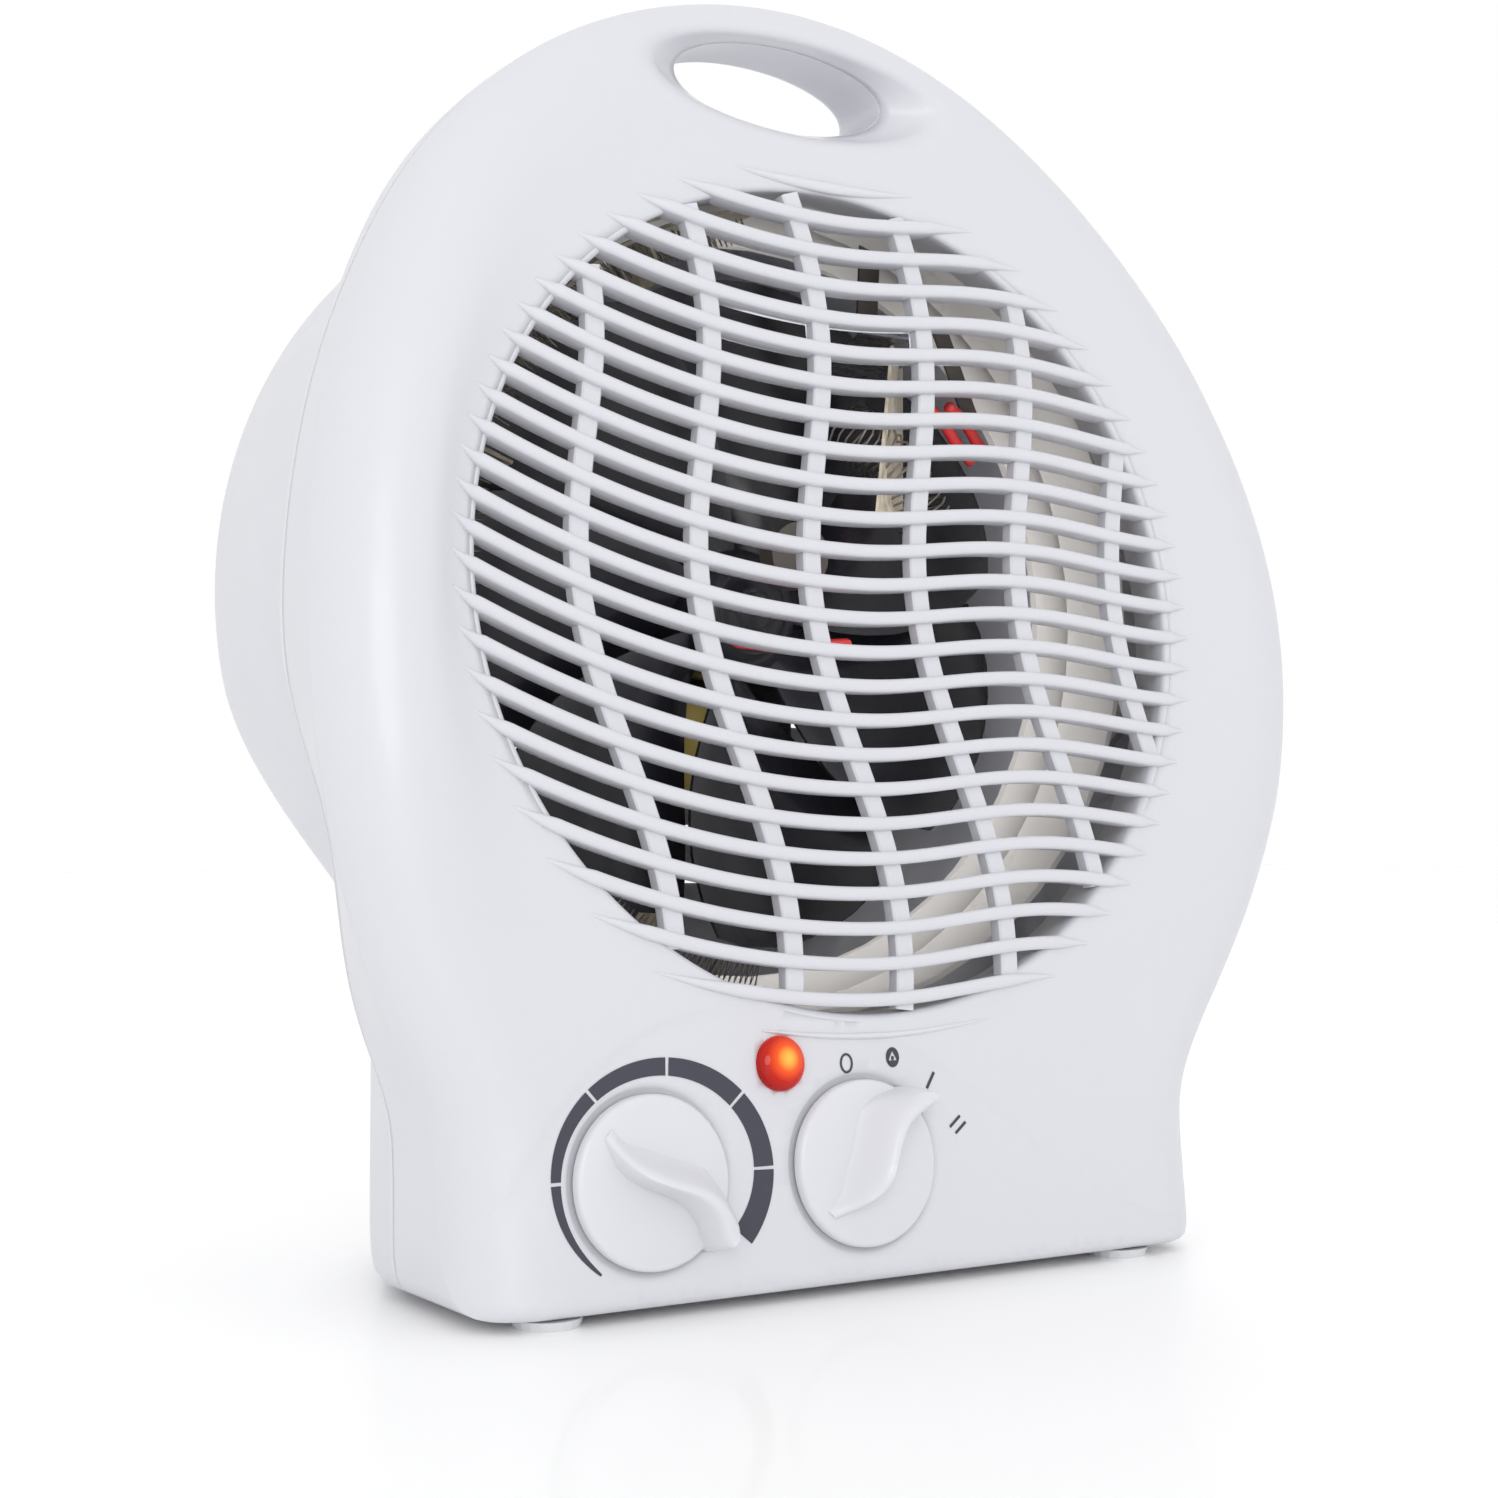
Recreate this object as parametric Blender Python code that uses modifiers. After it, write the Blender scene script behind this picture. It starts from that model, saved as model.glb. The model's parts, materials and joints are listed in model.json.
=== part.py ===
"""Fan convector heater, built from its separate pieces.

A front cover with a moulded wavy grille and a drum-shaped rear cover share a carrying handle. They
hold two dials, an indicator, heating coils on mica supports, and a fan on a shaded-pole motor.
x runs to the right seen from the front, y backwards, z up from the surface that the heater stands on.
"""

import math

import bmesh
import bpy

MM = 0.001
GAP = 0.3 * MM

# Where the grille's centre lies, and the plane of the face, which leans back as it rises.
GRILLE_X = -4.37 * MM
GRILLE_Z = 135.5 * MM
FACE_Y = -38.17 * MM
LEAN = 0.112
LEAN_ANGLE = math.atan(LEAN)

# The covers' outline, measured from the grille's centre.
BODY_HALF_WIDTH = 117.0 * MM
BODY_HALF_HEIGHT = 134.0 * MM
BODY_TOP_HEIGHT = 130.2 * MM
BODY_CENTRE = -8.0 * MM
BASE_HALF_WIDTH = 87.0 * MM
BASE_Z = -133.5 * MM
WAIST_BLEND = 3.5 * MM
SHOULDER_SHIFT = 4.5 * MM
SHOULDER_SPAN = 60.0 * MM
TOP_SHIFT = 4.2 * MM
TOP_SHIFT_HEIGHTS = (50.0 * MM, 115.0 * MM)
BASE_SHIFT = 3.0 * MM
BASE_SHIFT_DEPTHS = (60.0 * MM, 110.0 * MM)
SIDE_TAPER = 6.0 * MM
SIDE_TAPER_Z = -50.0 * MM
SIDE_TAPER_SPAN = 25.0 * MM
CORNER_BLEND = 4.0 * MM
CORNER_ANGLE = math.degrees(math.atan2(-BASE_Z, BASE_HALF_WIDTH))
LIMIT = 400.0 * MM
# How far a cutter reaches past what it cuts.
REACH = 10.0 * MM

# The shells.
WALL = 2.5 * MM
PARTING = 20.0 * MM
EDGE_RADIUS = 16.0 * MM
SOLE_EDGE_RADIUS = 3.0 * MM
RIM_FLAT = 1.5 * MM
RIDGE = 6.0 * MM
RIDGE_HEIGHTS = (-95.0 * MM, -35.0 * MM)
EDGE_STEPS = 3
DISH_STEPS = 3
DRUM_RADIUS = 99.7 * MM
DRUM_RISE = 4.2 * MM
DRUM_TOP = 97.0 * MM
PEDESTAL_SIDE = ((20.0, 88.5), (34.0, 85.5), (46.0, 80.0), (58.0, 74.0), (76.0, 64.0), (86.0, 57.0))
PEDESTAL_BELOW = -0.3
REAR_DEPTH = 100.0 * MM
PEDESTAL_DEPTH = 86.0 * MM
FLANGE_DEPTH = 27.0 * MM
HANDLE_DEPTH = 35.0 * MM
# Where, by the sine of the direction, the flange thickens behind the handle and the pedestal begins.
HANDLE_TURN = (0.35, 0.85)
PEDESTAL_TURN = (0.15, 0.6)
NEARLY_LEVEL = 0.05
DIRECTION_STEP = 5
CORNER_OFFSETS = (-12.0, -10.5, -9.0, -7.5, -6.0, -4.5, -3.2, -2.0, -1.0, 0.0, 1.0, 2.0, 3.5, 7.0)
# The rear cover's rows behind the rim: in from the flange's edge, or out from the drum, then
# the depth behind the flange at the side and the depth at the pedestal.
FLANK_ROWS = (
    (1.0 * MM, None, -3.0 * MM, 25.0 * MM),
    (3.0 * MM, None, -0.5 * MM, 34.0 * MM),
    (0.0, 2.0 * MM, 1.5 * MM, 42.0 * MM),
    (0.0, 0.0, 5.0 * MM, 58.0 * MM),
)
BACK_ROWS = ((0.0, 10.0 * MM), (3.0 * MM, 3.0 * MM), (10.0 * MM, 0.0))
CROWN_SHARE = 0.72
PEDESTAL_CROWN_SHARE = 0.55

# The grille: bars and ribs that run in waves.
GRILLE_RADIUS = 84.0 * MM
OPENING_RADIUS = 83.0 * MM
PLATE_RADIUS = 86.5 * MM
PLATE_THICKNESS = 3.0 * MM
BAR_PITCH = 6.9 * MM
BAR_WIDTH = 2.6 * MM
BAR_PHASE = 2.2 * MM
BAR_NUMBERS = range(-14, 13)
BAR_LEFT_CURVE = 2.73
BAR_RIGHT_SWING = 1.6 * MM
BAR_RIGHT_WAVE = 86.0 * MM
RIB_PITCH = 26.2 * MM
RIB_WIDTH = 4.2 * MM
RIB_PHASE = -9.0 * MM
RIB_NUMBERS = range(-4, 5)
RIB_SWING = 5.3 * MM
RIB_SHIFT = 5.26 * MM
RIB_SLANT = 0.083
RIB_CREST = 59.0 * MM
RIB_WAVE = 123.0 * MM
CELL_MIN_AREA = 12.0 * MM * MM

# The handle's opening, an eye that narrows to the parting plane.
EYE_SIDES = 28
EYE_X = -4.5 * MM
EYE_CENTRE = 105.0 * MM
EYE_HALF_WIDTH = 37.0 * MM
EYE_HALF_HEIGHT = 10.3 * MM
EYE_NECK_CENTRE = 107.0 * MM
EYE_NECK_HALF_WIDTH = 25.5 * MM
EYE_NECK_HALF_HEIGHT = 8.8 * MM

# The controls, measured in the face plane from the grille's centre.
DIAL_HEIGHT = -111.6 * MM
THERMOSTAT_X = -53.5 * MM
FUNCTION_X = -6.2 * MM
DIAL_RADIUS = 15.9 * MM
DIAL_PROUD = 1.6 * MM
DIAL_UNDERSIDE = -0.7 * MM
DIAL_CHAMFER = 0.8 * MM
STEM_RADIUS = 4.2 * MM
STEM_END = -5.5 * MM
GRIP_HEIGHT = 8.5 * MM
GRIP_TIP = 18.0 * MM
GRIP_TAIL = 12.5 * MM
GRIP_BOW = 2.6 * MM
GRIP_TAIL_HALF = 1.0 * MM
GRIP_TIP_HALF = 3.6 * MM
GRIP_STEPS = 14
RECESS_RADIUS = 19.2 * MM
RECESS_DEPTH = 1.2 * MM
SPINDLE_RADIUS = 3.0 * MM
SPINDLE_END = -17.0 * MM
SPINDLE_HOLE = 4.6 * MM
THERMOSTAT_ANGLE = 122.0
FUNCTION_ANGLE = 45.0
LAMP_X = -24.2 * MM
LAMP_HEIGHT = -92.0 * MM
LAMP_HOLE = 4.5 * MM

# Profiles of the pieces behind the panel, as (radius, height above the face plane).
THERMOSTAT_PROFILE = (
    (SPINDLE_RADIUS + GAP, -7.5 * MM),
    (5.5 * MM, -7.5 * MM),
    (5.5 * MM, -10.0 * MM),
    (13.0 * MM, -10.0 * MM),
    (13.0 * MM, -18.5 * MM),
    (SPINDLE_RADIUS + GAP, -18.5 * MM),
)
THERMOSTAT_BLADE = ((-4.0 * MM, -16.0 * MM, -22.0 * MM), (4.0 * MM, 16.0 * MM, -18.8 * MM))
SWITCH_BOX = ((-13.0 * MM, -13.0 * MM, -24.0 * MM), (13.0 * MM, 13.0 * MM, -7.5 * MM))
LENS_PROFILE = (
    (0.0, 2.6 * MM),
    (2.6 * MM, 2.2 * MM),
    (4.4 * MM, 1.2 * MM),
    (5.3 * MM, GAP),
    (4.1 * MM, GAP),
    (4.1 * MM, -6.0 * MM),
    (2.9 * MM, -6.0 * MM),
    (2.9 * MM, 0.0),
    (0.0, 0.4 * MM),
)
BULB_PROFILE = (
    (0.0, -1.0 * MM),
    (2.2 * MM, -2.5 * MM),
    (2.4 * MM, -16.0 * MM),
    (0.0, -16.0 * MM),
)

# The inside, by depth behind the face plane at the grille's centre.
FRAME_RADIUS = 85.0 * MM
FRAME_WALL = 1.2 * MM
FRAME_FRONT = 15.0 * MM
FRAME_BACK = 33.0 * MM
BAFFLE_DEPTH = 37.0 * MM
BAFFLE_THICKNESS = 2.0 * MM
BAFFLE_INNER = 78.0 * MM
BAFFLE_OUTER = 93.4 * MM
COIL_DEPTH = 24.0 * MM
COIL_RADIUS = 3.0 * MM
COIL_SWEEP = 330.0
COILS = (("outer", 70.0 * MM, -75.0), ("inner", 50.0 * MM, -75.0))
MICA_THICKNESS = 1.0 * MM
MICA_INNER = 20.0 * MM
MICA_OUTER = 83.4 * MM
MICA_ANGLES = (45.0, 135.0, 225.0, 315.0)
MICA_WINDOW = 5.0 * MM
CUTOUT_RADIUS = 7.0 * MM
CUTOUT_HEIGHT = 10.0 * MM
CUTOUT_DEPTHS = (19.0 * MM, 24.0 * MM)
FUSE_RADIUS = 1.6 * MM
FUSE_PATH = (
    (-14.0 * MM, -8.0 * MM, -22.0 * MM),
    (0.0, -9.0 * MM, -22.0 * MM),
    (14.0 * MM, -8.0 * MM, -22.0 * MM),
)
TERMINAL_BOX = ((30.0 * MM, -125.0 * MM, -55.0 * MM), (56.0 * MM, -116.0 * MM, -42.0 * MM))
BUSH_PLACE = (38.0 * MM, -112.0 * MM)
BUSH_HOLE = 5.5 * MM
BUSH_RADII = (3.2 * MM, 5.2 * MM)
BUSH_DEPTHS = (70.0 * MM, 93.0 * MM)

# The fan.
FAN_RADIUS = 74.0 * MM
FAN_FRONT = 41.0 * MM
FAN_BACK = 57.0 * MM
FAN_BLADES = 7
BLADE_HALF_THICKNESS = 0.6 * MM
BLADE_ROOT = 12.0 * MM
BLADE_REACHES = (BLADE_ROOT, 30.0 * MM, 50.0 * MM, 66.0 * MM, FAN_RADIUS)
BLADE_HALF_WIDTHS = (9.0 * MM, 22.0 * MM)
BLADE_PITCHES = (42.0, 24.0)
HUB_RADIUS = 14.0 * MM
HUB_PROFILE = (
    (0.0, -36.0 * MM),
    (7.0 * MM, -36.8 * MM),
    (11.5 * MM, -39.0 * MM),
    (HUB_RADIUS, -42.5 * MM),
    (HUB_RADIUS, -FAN_BACK),
    (6.0 * MM, -FAN_BACK),
    (6.0 * MM, -59.0 * MM),
    (0.0, -59.0 * MM),
)
FAN_BORE_FRONT = 44.0 * MM

# The motor.
SHAFT_RADIUS = 2.0 * MM
SHAFT_DEPTHS = (44.3 * MM, 90.5 * MM)
STATOR_FRONT = 68.0 * MM
STATOR_BACK = 82.0 * MM
STATOR_SIDE = 30.0 * MM
STATOR_TOP = 22.0 * MM
STATOR_BOTTOM = -34.0 * MM
STATOR_WINDOW = ((-20.0 * MM, -24.0 * MM, -90.0 * MM), (20.0 * MM, -16.0 * MM, -60.0 * MM))
ROTOR_RADIUS = 12.0 * MM
ROTOR_DEPTHS = (67.5 * MM, 82.5 * MM)
WINDING_BOX = ((-15.0 * MM, -41.0 * MM, -88.0 * MM), (15.0 * MM, -17.0 * MM, -62.0 * MM))
WINDING_CORE = ((-16.0 * MM, -34.3 * MM, -82.3 * MM), (16.0 * MM, -23.7 * MM, -67.7 * MM))
BRACKET_HALF = (30.0 * MM, 7.0 * MM)
BRACKET_FOOT_RADIUS = 4.5 * MM
FRONT_BRACKET = (62.0 * MM, 63.5 * MM)
FRONT_BRACKET_FEET = (62.0 * MM, 67.5 * MM)
REAR_BRACKET = (85.7 * MM, 87.2 * MM)
REAR_BRACKET_FEET = (82.8 * MM, 87.2 * MM)
BEARING_RADIUS = 4.5 * MM
BEARING_HALF_LENGTH = 2.0 * MM
POST_X = 24.0 * MM
POST_RADIUS = 4.5 * MM
POST_DEPTHS = (87.5 * MM, 98.5 * MM)
MOTOR_BOLT_WAY = 2.0 * MM
MOTOR_SCREW_PROFILE = (
    (0.0, -59.5 * MM),
    (3.0 * MM, -59.8 * MM),
    (3.0 * MM, -61.7 * MM),
    (1.5 * MM, -61.7 * MM),
    (1.5 * MM, -94.0 * MM),
    (0.0, -94.0 * MM),
)

# The screws through the covers: direction from the grille's centre, distance, depth of the head.
CASE_SCREWS = ((8.0, 109.2 * MM, 28.5 * MM), (38.0, 109.0 * MM, 33.0 * MM))
SCREW_RADIUS = 1.5 * MM
SCREW_HEAD_RADIUS = 3.0 * MM
SCREW_HEAD_HEIGHT = 2.0 * MM
SCREW_TIP = 14.0 * MM
PILOT_RADIUS = 1.8 * MM
BOSS_RADIUS = 4.0 * MM
BOSS_START = 6.4 * MM
BOSS_BLIND = 2.6 * MM

# The intake in the back.
SLOT_ROWS = range(-6, 7)
SLOT_PITCH = 9.5 * MM
SLOT_HALF_HEIGHT = 2.2 * MM
SLOT_CIRCLE = 64.0 * MM
SLOT_MIDDLE_BAR = 5.0 * MM

# The feet: name, place across and depth from the grille's centre.
FEET = (
    ("foot_front_left", -72.0 * MM, -7.0 * MM),
    ("foot_front_right", 62.0 * MM, -7.0 * MM),
    ("foot_rear_left", -52.0 * MM, 70.0 * MM),
    ("foot_rear_right", 48.0 * MM, 70.0 * MM),
)
FOOT_RADIUS = 6.5 * MM

WHITE = (0.86, 0.87, 0.91)
BLACK = (0.012, 0.012, 0.014)
STEEL = (0.55, 0.55, 0.56)
BEIGE = (0.55, 0.52, 0.48)
CREAM = (0.75, 0.72, 0.62)
MICA = (0.62, 0.55, 0.42)
BRONZE = (0.6, 0.42, 0.2)
LAMINATE = (0.35, 0.34, 0.33)
WIRE = (0.35, 0.33, 0.3)
TAPE = (0.5, 0.3, 0.05)
SLEEVE = (0.3, 0.02, 0.02)
RED = (0.8, 0.05, 0.01)
LAMP_GLASS = (0.9, 0.5, 0.3)
PALE_RUBBER = (0.7, 0.7, 0.7)


# Scene, materials and small helpers.


def clear_scene():
    for item in list(bpy.data.objects):
        bpy.data.objects.remove(item, do_unlink=True)


def make_collection(name):
    collection = bpy.data.collections.new(name)
    bpy.context.scene.collection.children.link(collection)
    return collection


def plastic(name, colour, roughness=0.35, metallic=0.0):
    material = bpy.data.materials.get(name)
    if material:
        return material
    material = bpy.data.materials.new(name)
    material.use_nodes = True
    shader = material.node_tree.nodes["Principled BSDF"]
    shader.inputs["Base Color"].default_value = (*colour, 1.0)
    shader.inputs["Roughness"].default_value = roughness
    shader.inputs["Metallic"].default_value = metallic
    return material


def make_empty(name, y, tilt):
    """An empty at the grille's centre whose z axis points out of the heater towards its user."""
    empty = bpy.data.objects.new(name, None)
    empty.location = (GRILLE_X, y, GRILLE_Z)
    empty.rotation_euler = (math.radians(90.0) - tilt, 0.0, 0.0)
    PARTS.objects.link(empty)
    return empty


def add(name, mesh, material=None, parent=None, cutter=False):
    thing = bpy.data.objects.new(name, mesh)
    (CUTTERS if cutter else PARTS).objects.link(thing)
    if material:
        mesh.materials.clear()
        mesh.materials.append(material)
    if parent:
        thing.parent = parent
    if cutter:
        thing.hide_render = True
        thing.display_type = "WIRE"
    return thing


def finish_mesh(name, bm):
    mesh = bpy.data.meshes.new(name)
    bm.to_mesh(mesh)
    bm.free()
    return mesh


def smooth(thing, angle=35.0):
    thing.data.shade_smooth()
    thing.data.set_sharp_from_angle(angle=math.radians(angle))
    return thing


def boolean(thing, tool, operation="DIFFERENCE"):
    modifier = thing.modifiers.new(f"{operation.lower()} {tool.name}", "BOOLEAN")
    modifier.operation = operation
    modifier.solver = "EXACT"
    modifier.object = tool
    return modifier


def box_mesh(name, low, high):
    bm = bmesh.new()
    bmesh.ops.create_cube(bm, size=1.0)
    for vert in bm.verts:
        vert.co = [a + (b - a) * (c + 0.5) for a, b, c in zip(low, high, vert.co)]
    return finish_mesh(name, bm)


def boxes_mesh(name, boxes):
    bm = bmesh.new()
    for low, high in boxes:
        made = bmesh.ops.create_cube(bm, size=1.0)["verts"]
        for vert in made:
            vert.co = [a + (b - a) * (c + 0.5) for a, b, c in zip(low, high, vert.co)]
    return finish_mesh(name, bm)


def cylinder_mesh(name, radius, low, high, segments=32):
    """A cylinder along z from low to high."""
    bm = bmesh.new()
    bmesh.ops.create_cone(
        bm, cap_ends=True, segments=segments, radius1=radius, radius2=radius, depth=high - low
    )
    bmesh.ops.translate(bm, verts=bm.verts, vec=(0.0, 0.0, (low + high) / 2))
    return finish_mesh(name, bm)


def turned(name, profile, material=None, parent=None, closed=False, steps=32, cutter=False):
    """Turns a profile of (radius, z) about z. It runs down its outer side, from top to bottom."""
    bm = bmesh.new()
    verts = [bm.verts.new((radius, 0.0, z)) for radius, z in profile]
    pairs = list(zip(verts, verts[1:]))
    if closed:
        pairs.append((verts[-1], verts[0]))
    for pair in pairs:
        bm.edges.new(pair)
    thing = add(name, finish_mesh(name, bm), material, parent, cutter)
    screw = thing.modifiers.new("turn", "SCREW")
    screw.axis = "Z"
    screw.steps = steps
    screw.render_steps = steps
    screw.use_merge_vertices = True
    screw.merge_threshold = 0.00001
    screw.use_smooth_shade = True
    return thing


def extruded(name, loops, thickness, material=None, parent=None, z=0.0, cutter=False):
    """A flat outline, with holes after its first loop, centred on z and made a mesh."""
    curve = bpy.data.curves.new(name, "CURVE")
    curve.dimensions = "2D"
    curve.fill_mode = "BOTH"
    curve.extrude = thickness / 2
    for loop in loops:
        spline = curve.splines.new("POLY")
        spline.points.add(len(loop) - 1)
        spline.use_cyclic_u = True
        for point, (x, y) in zip(spline.points, loop):
            point.co = (x, y, 0.0, 1.0)
    return curve_to_part(name, curve, material, parent, z, cutter)


def curve_to_part(name, curve, material, parent, z=0.0, cutter=False):
    guide = bpy.data.objects.new(name + " curve", curve)
    PARTS.objects.link(guide)
    bpy.context.view_layer.update()
    evaluated = guide.evaluated_get(bpy.context.evaluated_depsgraph_get())
    mesh = bpy.data.meshes.new_from_object(evaluated)
    bpy.data.objects.remove(guide, do_unlink=True)
    bm = bmesh.new()
    bm.from_mesh(mesh)
    bmesh.ops.remove_doubles(bm, verts=bm.verts, dist=0.000001)
    bmesh.ops.recalc_face_normals(bm, faces=bm.faces)
    bm.to_mesh(mesh)
    bm.free()
    thing = add(name, mesh, material, parent, cutter)
    thing.location.z = z
    return thing


def tube(name, points, radius, material=None, parent=None, resolution=2):
    curve = bpy.data.curves.new(name, "CURVE")
    curve.dimensions = "3D"
    curve.bevel_depth = radius
    curve.bevel_resolution = resolution
    curve.use_fill_caps = True
    spline = curve.splines.new("POLY")
    spline.points.add(len(points) - 1)
    for target, point in zip(spline.points, points):
        target.co = (*point, 1.0)
    return curve_to_part(name, curve, material, parent)


def loft_mesh(name, rings, outward_first=True, cap_last=False, cap_first=False):
    """Joins rings of points, each running anticlockwise seen from the front."""
    bm = bmesh.new()
    grid = [[bm.verts.new(point) for point in ring] for ring in rings]
    count = len(grid[0])
    for outer, inner in zip(grid, grid[1:]):
        for j in range(count):
            k = (j + 1) % count
            face = (outer[j], outer[k], inner[k], inner[j])
            bm.faces.new(face if outward_first else face[::-1])
    if cap_last:
        bm.faces.new(grid[-1] if outward_first else grid[-1][::-1])
    if cap_first:
        bm.faces.new(grid[0][::-1] if outward_first else grid[0])
    return finish_mesh(name, bm)


def circle_points(radius, count, start=0.0, sweep=360.0):
    steps = count if sweep >= 360.0 else count - 1
    angles = [math.radians(start + sweep * i / steps) for i in range(count)]
    return [(radius * math.cos(a), radius * math.sin(a)) for a in angles]


def ease(low, high, value):
    share = min(1.0, max(0.0, (value - low) / (high - low)))
    return share * share * (3.0 - 2.0 * share)


def mix(a, b, share):
    return a + (b - a) * share


# The covers' outline, as a distance from the grille's centre in each direction.


def half_width(z):
    rise = (z - BODY_CENTRE) / (BODY_TOP_HEIGHT if z > BODY_CENTRE else BODY_HALF_HEIGHT)
    body = BODY_HALF_WIDTH * math.sqrt(max(0.0, 1.0 - rise * rise))
    if z > BODY_CENTRE:
        return body
    return BASE_HALF_WIDTH + WAIST_BLEND * math.log1p(math.exp((body - BASE_HALF_WIDTH) / WAIST_BLEND))


def shoulder_shift(z):
    """How far right of the grille's centre the covers' middle lies at a height."""
    shoulder = SHOULDER_SHIFT * math.exp(-((z / SHOULDER_SPAN) ** 2))
    return shoulder - TOP_SHIFT * ease(*TOP_SHIFT_HEIGHTS, z) - BASE_SHIFT * ease(*BASE_SHIFT_DEPTHS, -z)


def side_taper(z):
    """How far the side walls lean in by the time they reach the parting plane."""
    return SIDE_TAPER * math.exp(-(((z - SIDE_TAPER_Z) / SIDE_TAPER_SPAN) ** 2))


def side_reach(angle):
    low = 0.0
    high = LIMIT
    for _ in range(40):
        middle = (low + high) / 2
        x = middle * math.cos(angle)
        z = middle * math.sin(angle)
        if abs(x - shoulder_shift(z)) < half_width(z):
            low = middle
        else:
            high = middle
    return low


def sole_reach(angle):
    return BASE_Z / math.sin(angle) if math.sin(angle) < -0.01 else LIMIT


def soft_least(a, b):
    """The smaller of two lengths, rounded off where they meet, and the second one's share."""
    nearer = min(a, b)
    weight_a = math.exp((nearer - a) / CORNER_BLEND)
    weight_b = math.exp((nearer - b) / CORNER_BLEND)
    total = weight_a + weight_b
    return nearer - CORNER_BLEND * math.log(total), weight_b / total


def outline_reach(angle):
    return soft_least(side_reach(angle), sole_reach(angle))


def pedestal_half_width(depth):
    """The pedestal's half width, which shrinks towards the back."""
    rows = [(at * MM, half * MM) for at, half in PEDESTAL_SIDE]
    for (near, wide), (far, narrow) in zip(rows, rows[1:]):
        if depth <= far:
            return mix(wide, narrow, max(0.0, (depth - near) / (far - near)))
    return rows[-1][1]


def rear_reach(angle, depth):
    """The drum, or the pedestal under it where that stands out further."""
    up = math.sin(angle)
    across = math.cos(angle)
    drum = DRUM_RISE * up + math.sqrt(DRUM_RADIUS**2 - (DRUM_RISE * across) ** 2)
    if up > 0.0:
        drum, _ = soft_least(drum, DRUM_TOP / max(NEARLY_LEVEL, up))
    if up > PEDESTAL_BELOW:
        return drum
    side = (pedestal_half_width(depth) - BASE_SHIFT * math.copysign(1.0, across)) / max(NEARLY_LEVEL, abs(across))
    pedestal, _ = soft_least(side, sole_reach(angle))
    return -soft_least(-drum, -pedestal)[0]


def directions():
    """Angles round the outline, closer together where the sides of the base meet its sole."""
    angles = set(range(0, 360, DIRECTION_STEP))
    for offset in CORNER_OFFSETS:
        angles.add(360.0 - CORNER_ANGLE + offset)
        angles.add(180.0 + CORNER_ANGLE - offset)
    return [math.radians(a) for a in sorted(angles)]


def face_depth(z):
    return FACE_Y + LEAN * z


def place(angle, reach, y):
    return (GRILLE_X + reach * math.cos(angle), y, GRILLE_Z + reach * math.sin(angle))


# The two covers.


def rounding(distance, radius, drop):
    """How far a rounded edge has fallen away at a distance in from the edge."""
    share = min(1.0, max(0.0, 1.0 - distance / radius))
    return drop * (1.0 - math.sqrt(1.0 - share * share))


def front_profile(angle):
    """The front cover's outer surface in one direction, from its back edge in to the grille."""
    side = side_reach(angle)
    reach, sole_share = soft_least(side, sole_reach(angle))
    level = abs(math.cos(angle)) if angle > math.pi else 1.0
    edge = mix(EDGE_RADIUS / max(NEARLY_LEVEL, level), SOLE_EDGE_RADIUS, sole_share)
    height = reach * math.sin(angle)
    ridge = RIDGE * ease(*RIDGE_HEIGHTS, height) * math.cos(angle) ** 2
    back = FACE_Y + PARTING - GAP / 2
    drop = min(EDGE_RADIUS, back - 2 * RIM_FLAT - face_depth(height) + ridge)

    def depth(at, rise):
        across = at * math.cos(angle)
        z = at * math.sin(angle)
        inset = side - at if z > 0.0 else half_width(z) - abs(across - shoulder_shift(z))
        fall = rounding(inset, EDGE_RADIUS, drop)
        fall += rounding(z - BASE_Z, SOLE_EDGE_RADIUS, SOLE_EDGE_RADIUS)
        return min(face_depth(z) - rise + fall, back - 2 * RIM_FLAT)

    narrow = reach - side_taper(height)
    points = [place(angle, narrow, back), place(angle, narrow, back - RIM_FLAT / 2)]
    for i in range(EDGE_STEPS + 1):
        at = reach - edge * (1.0 - math.cos(math.radians(90.0 * i / EDGE_STEPS)))
        points.append(place(angle, at, depth(at, ridge)))
    for i in range(DISH_STEPS):
        share = (i + 1) / DISH_STEPS
        at = mix(reach - edge, GRILLE_RADIUS, share)
        points.append(place(angle, at, depth(at, ridge * (1.0 - ease(0.0, 1.0, share)))))
    return points


def rear_profile(angle):
    """The rear cover's outer surface in one direction, from the parting plane back.

    The rows give the flange and the drum behind it. Downwards they turn into the pedestal's flank.
    """
    reach, _ = outline_reach(angle)
    reach -= side_taper(reach * math.sin(angle))
    up = ease(*HANDLE_TURN, math.sin(angle))
    down = ease(*PEDESTAL_TURN, -math.sin(angle))
    step = mix(FLANGE_DEPTH, HANDLE_DEPTH, up)
    back = mix(REAR_DEPTH, PEDESTAL_DEPTH, down)
    front = PARTING + GAP / 2
    body = rear_reach(angle, back)
    rows = [(reach, front), (reach, front + RIM_FLAT)]
    for from_flange, from_drum, at_side, at_foot in FLANK_ROWS:
        flange = reach - from_flange if from_drum is None else body + from_drum
        depth = mix(step + at_side, at_foot, down)
        rows.append((mix(flange, min(reach, rear_reach(angle, depth)), down), depth))
    for inset, before in BACK_ROWS:
        depth = back - before
        rows.append((rear_reach(angle, depth) - inset, depth))
    rows.append((mix(CROWN_SHARE, PEDESTAL_CROWN_SHARE, down) * body, REAR_DEPTH))
    return [place(angle, at, FACE_Y + depth) for at, depth in rows]


def rings_of(profile):
    """Turns a profile in each direction into rings that run round the outline."""
    return list(zip(*(profile(angle) for angle in directions())))


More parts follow.
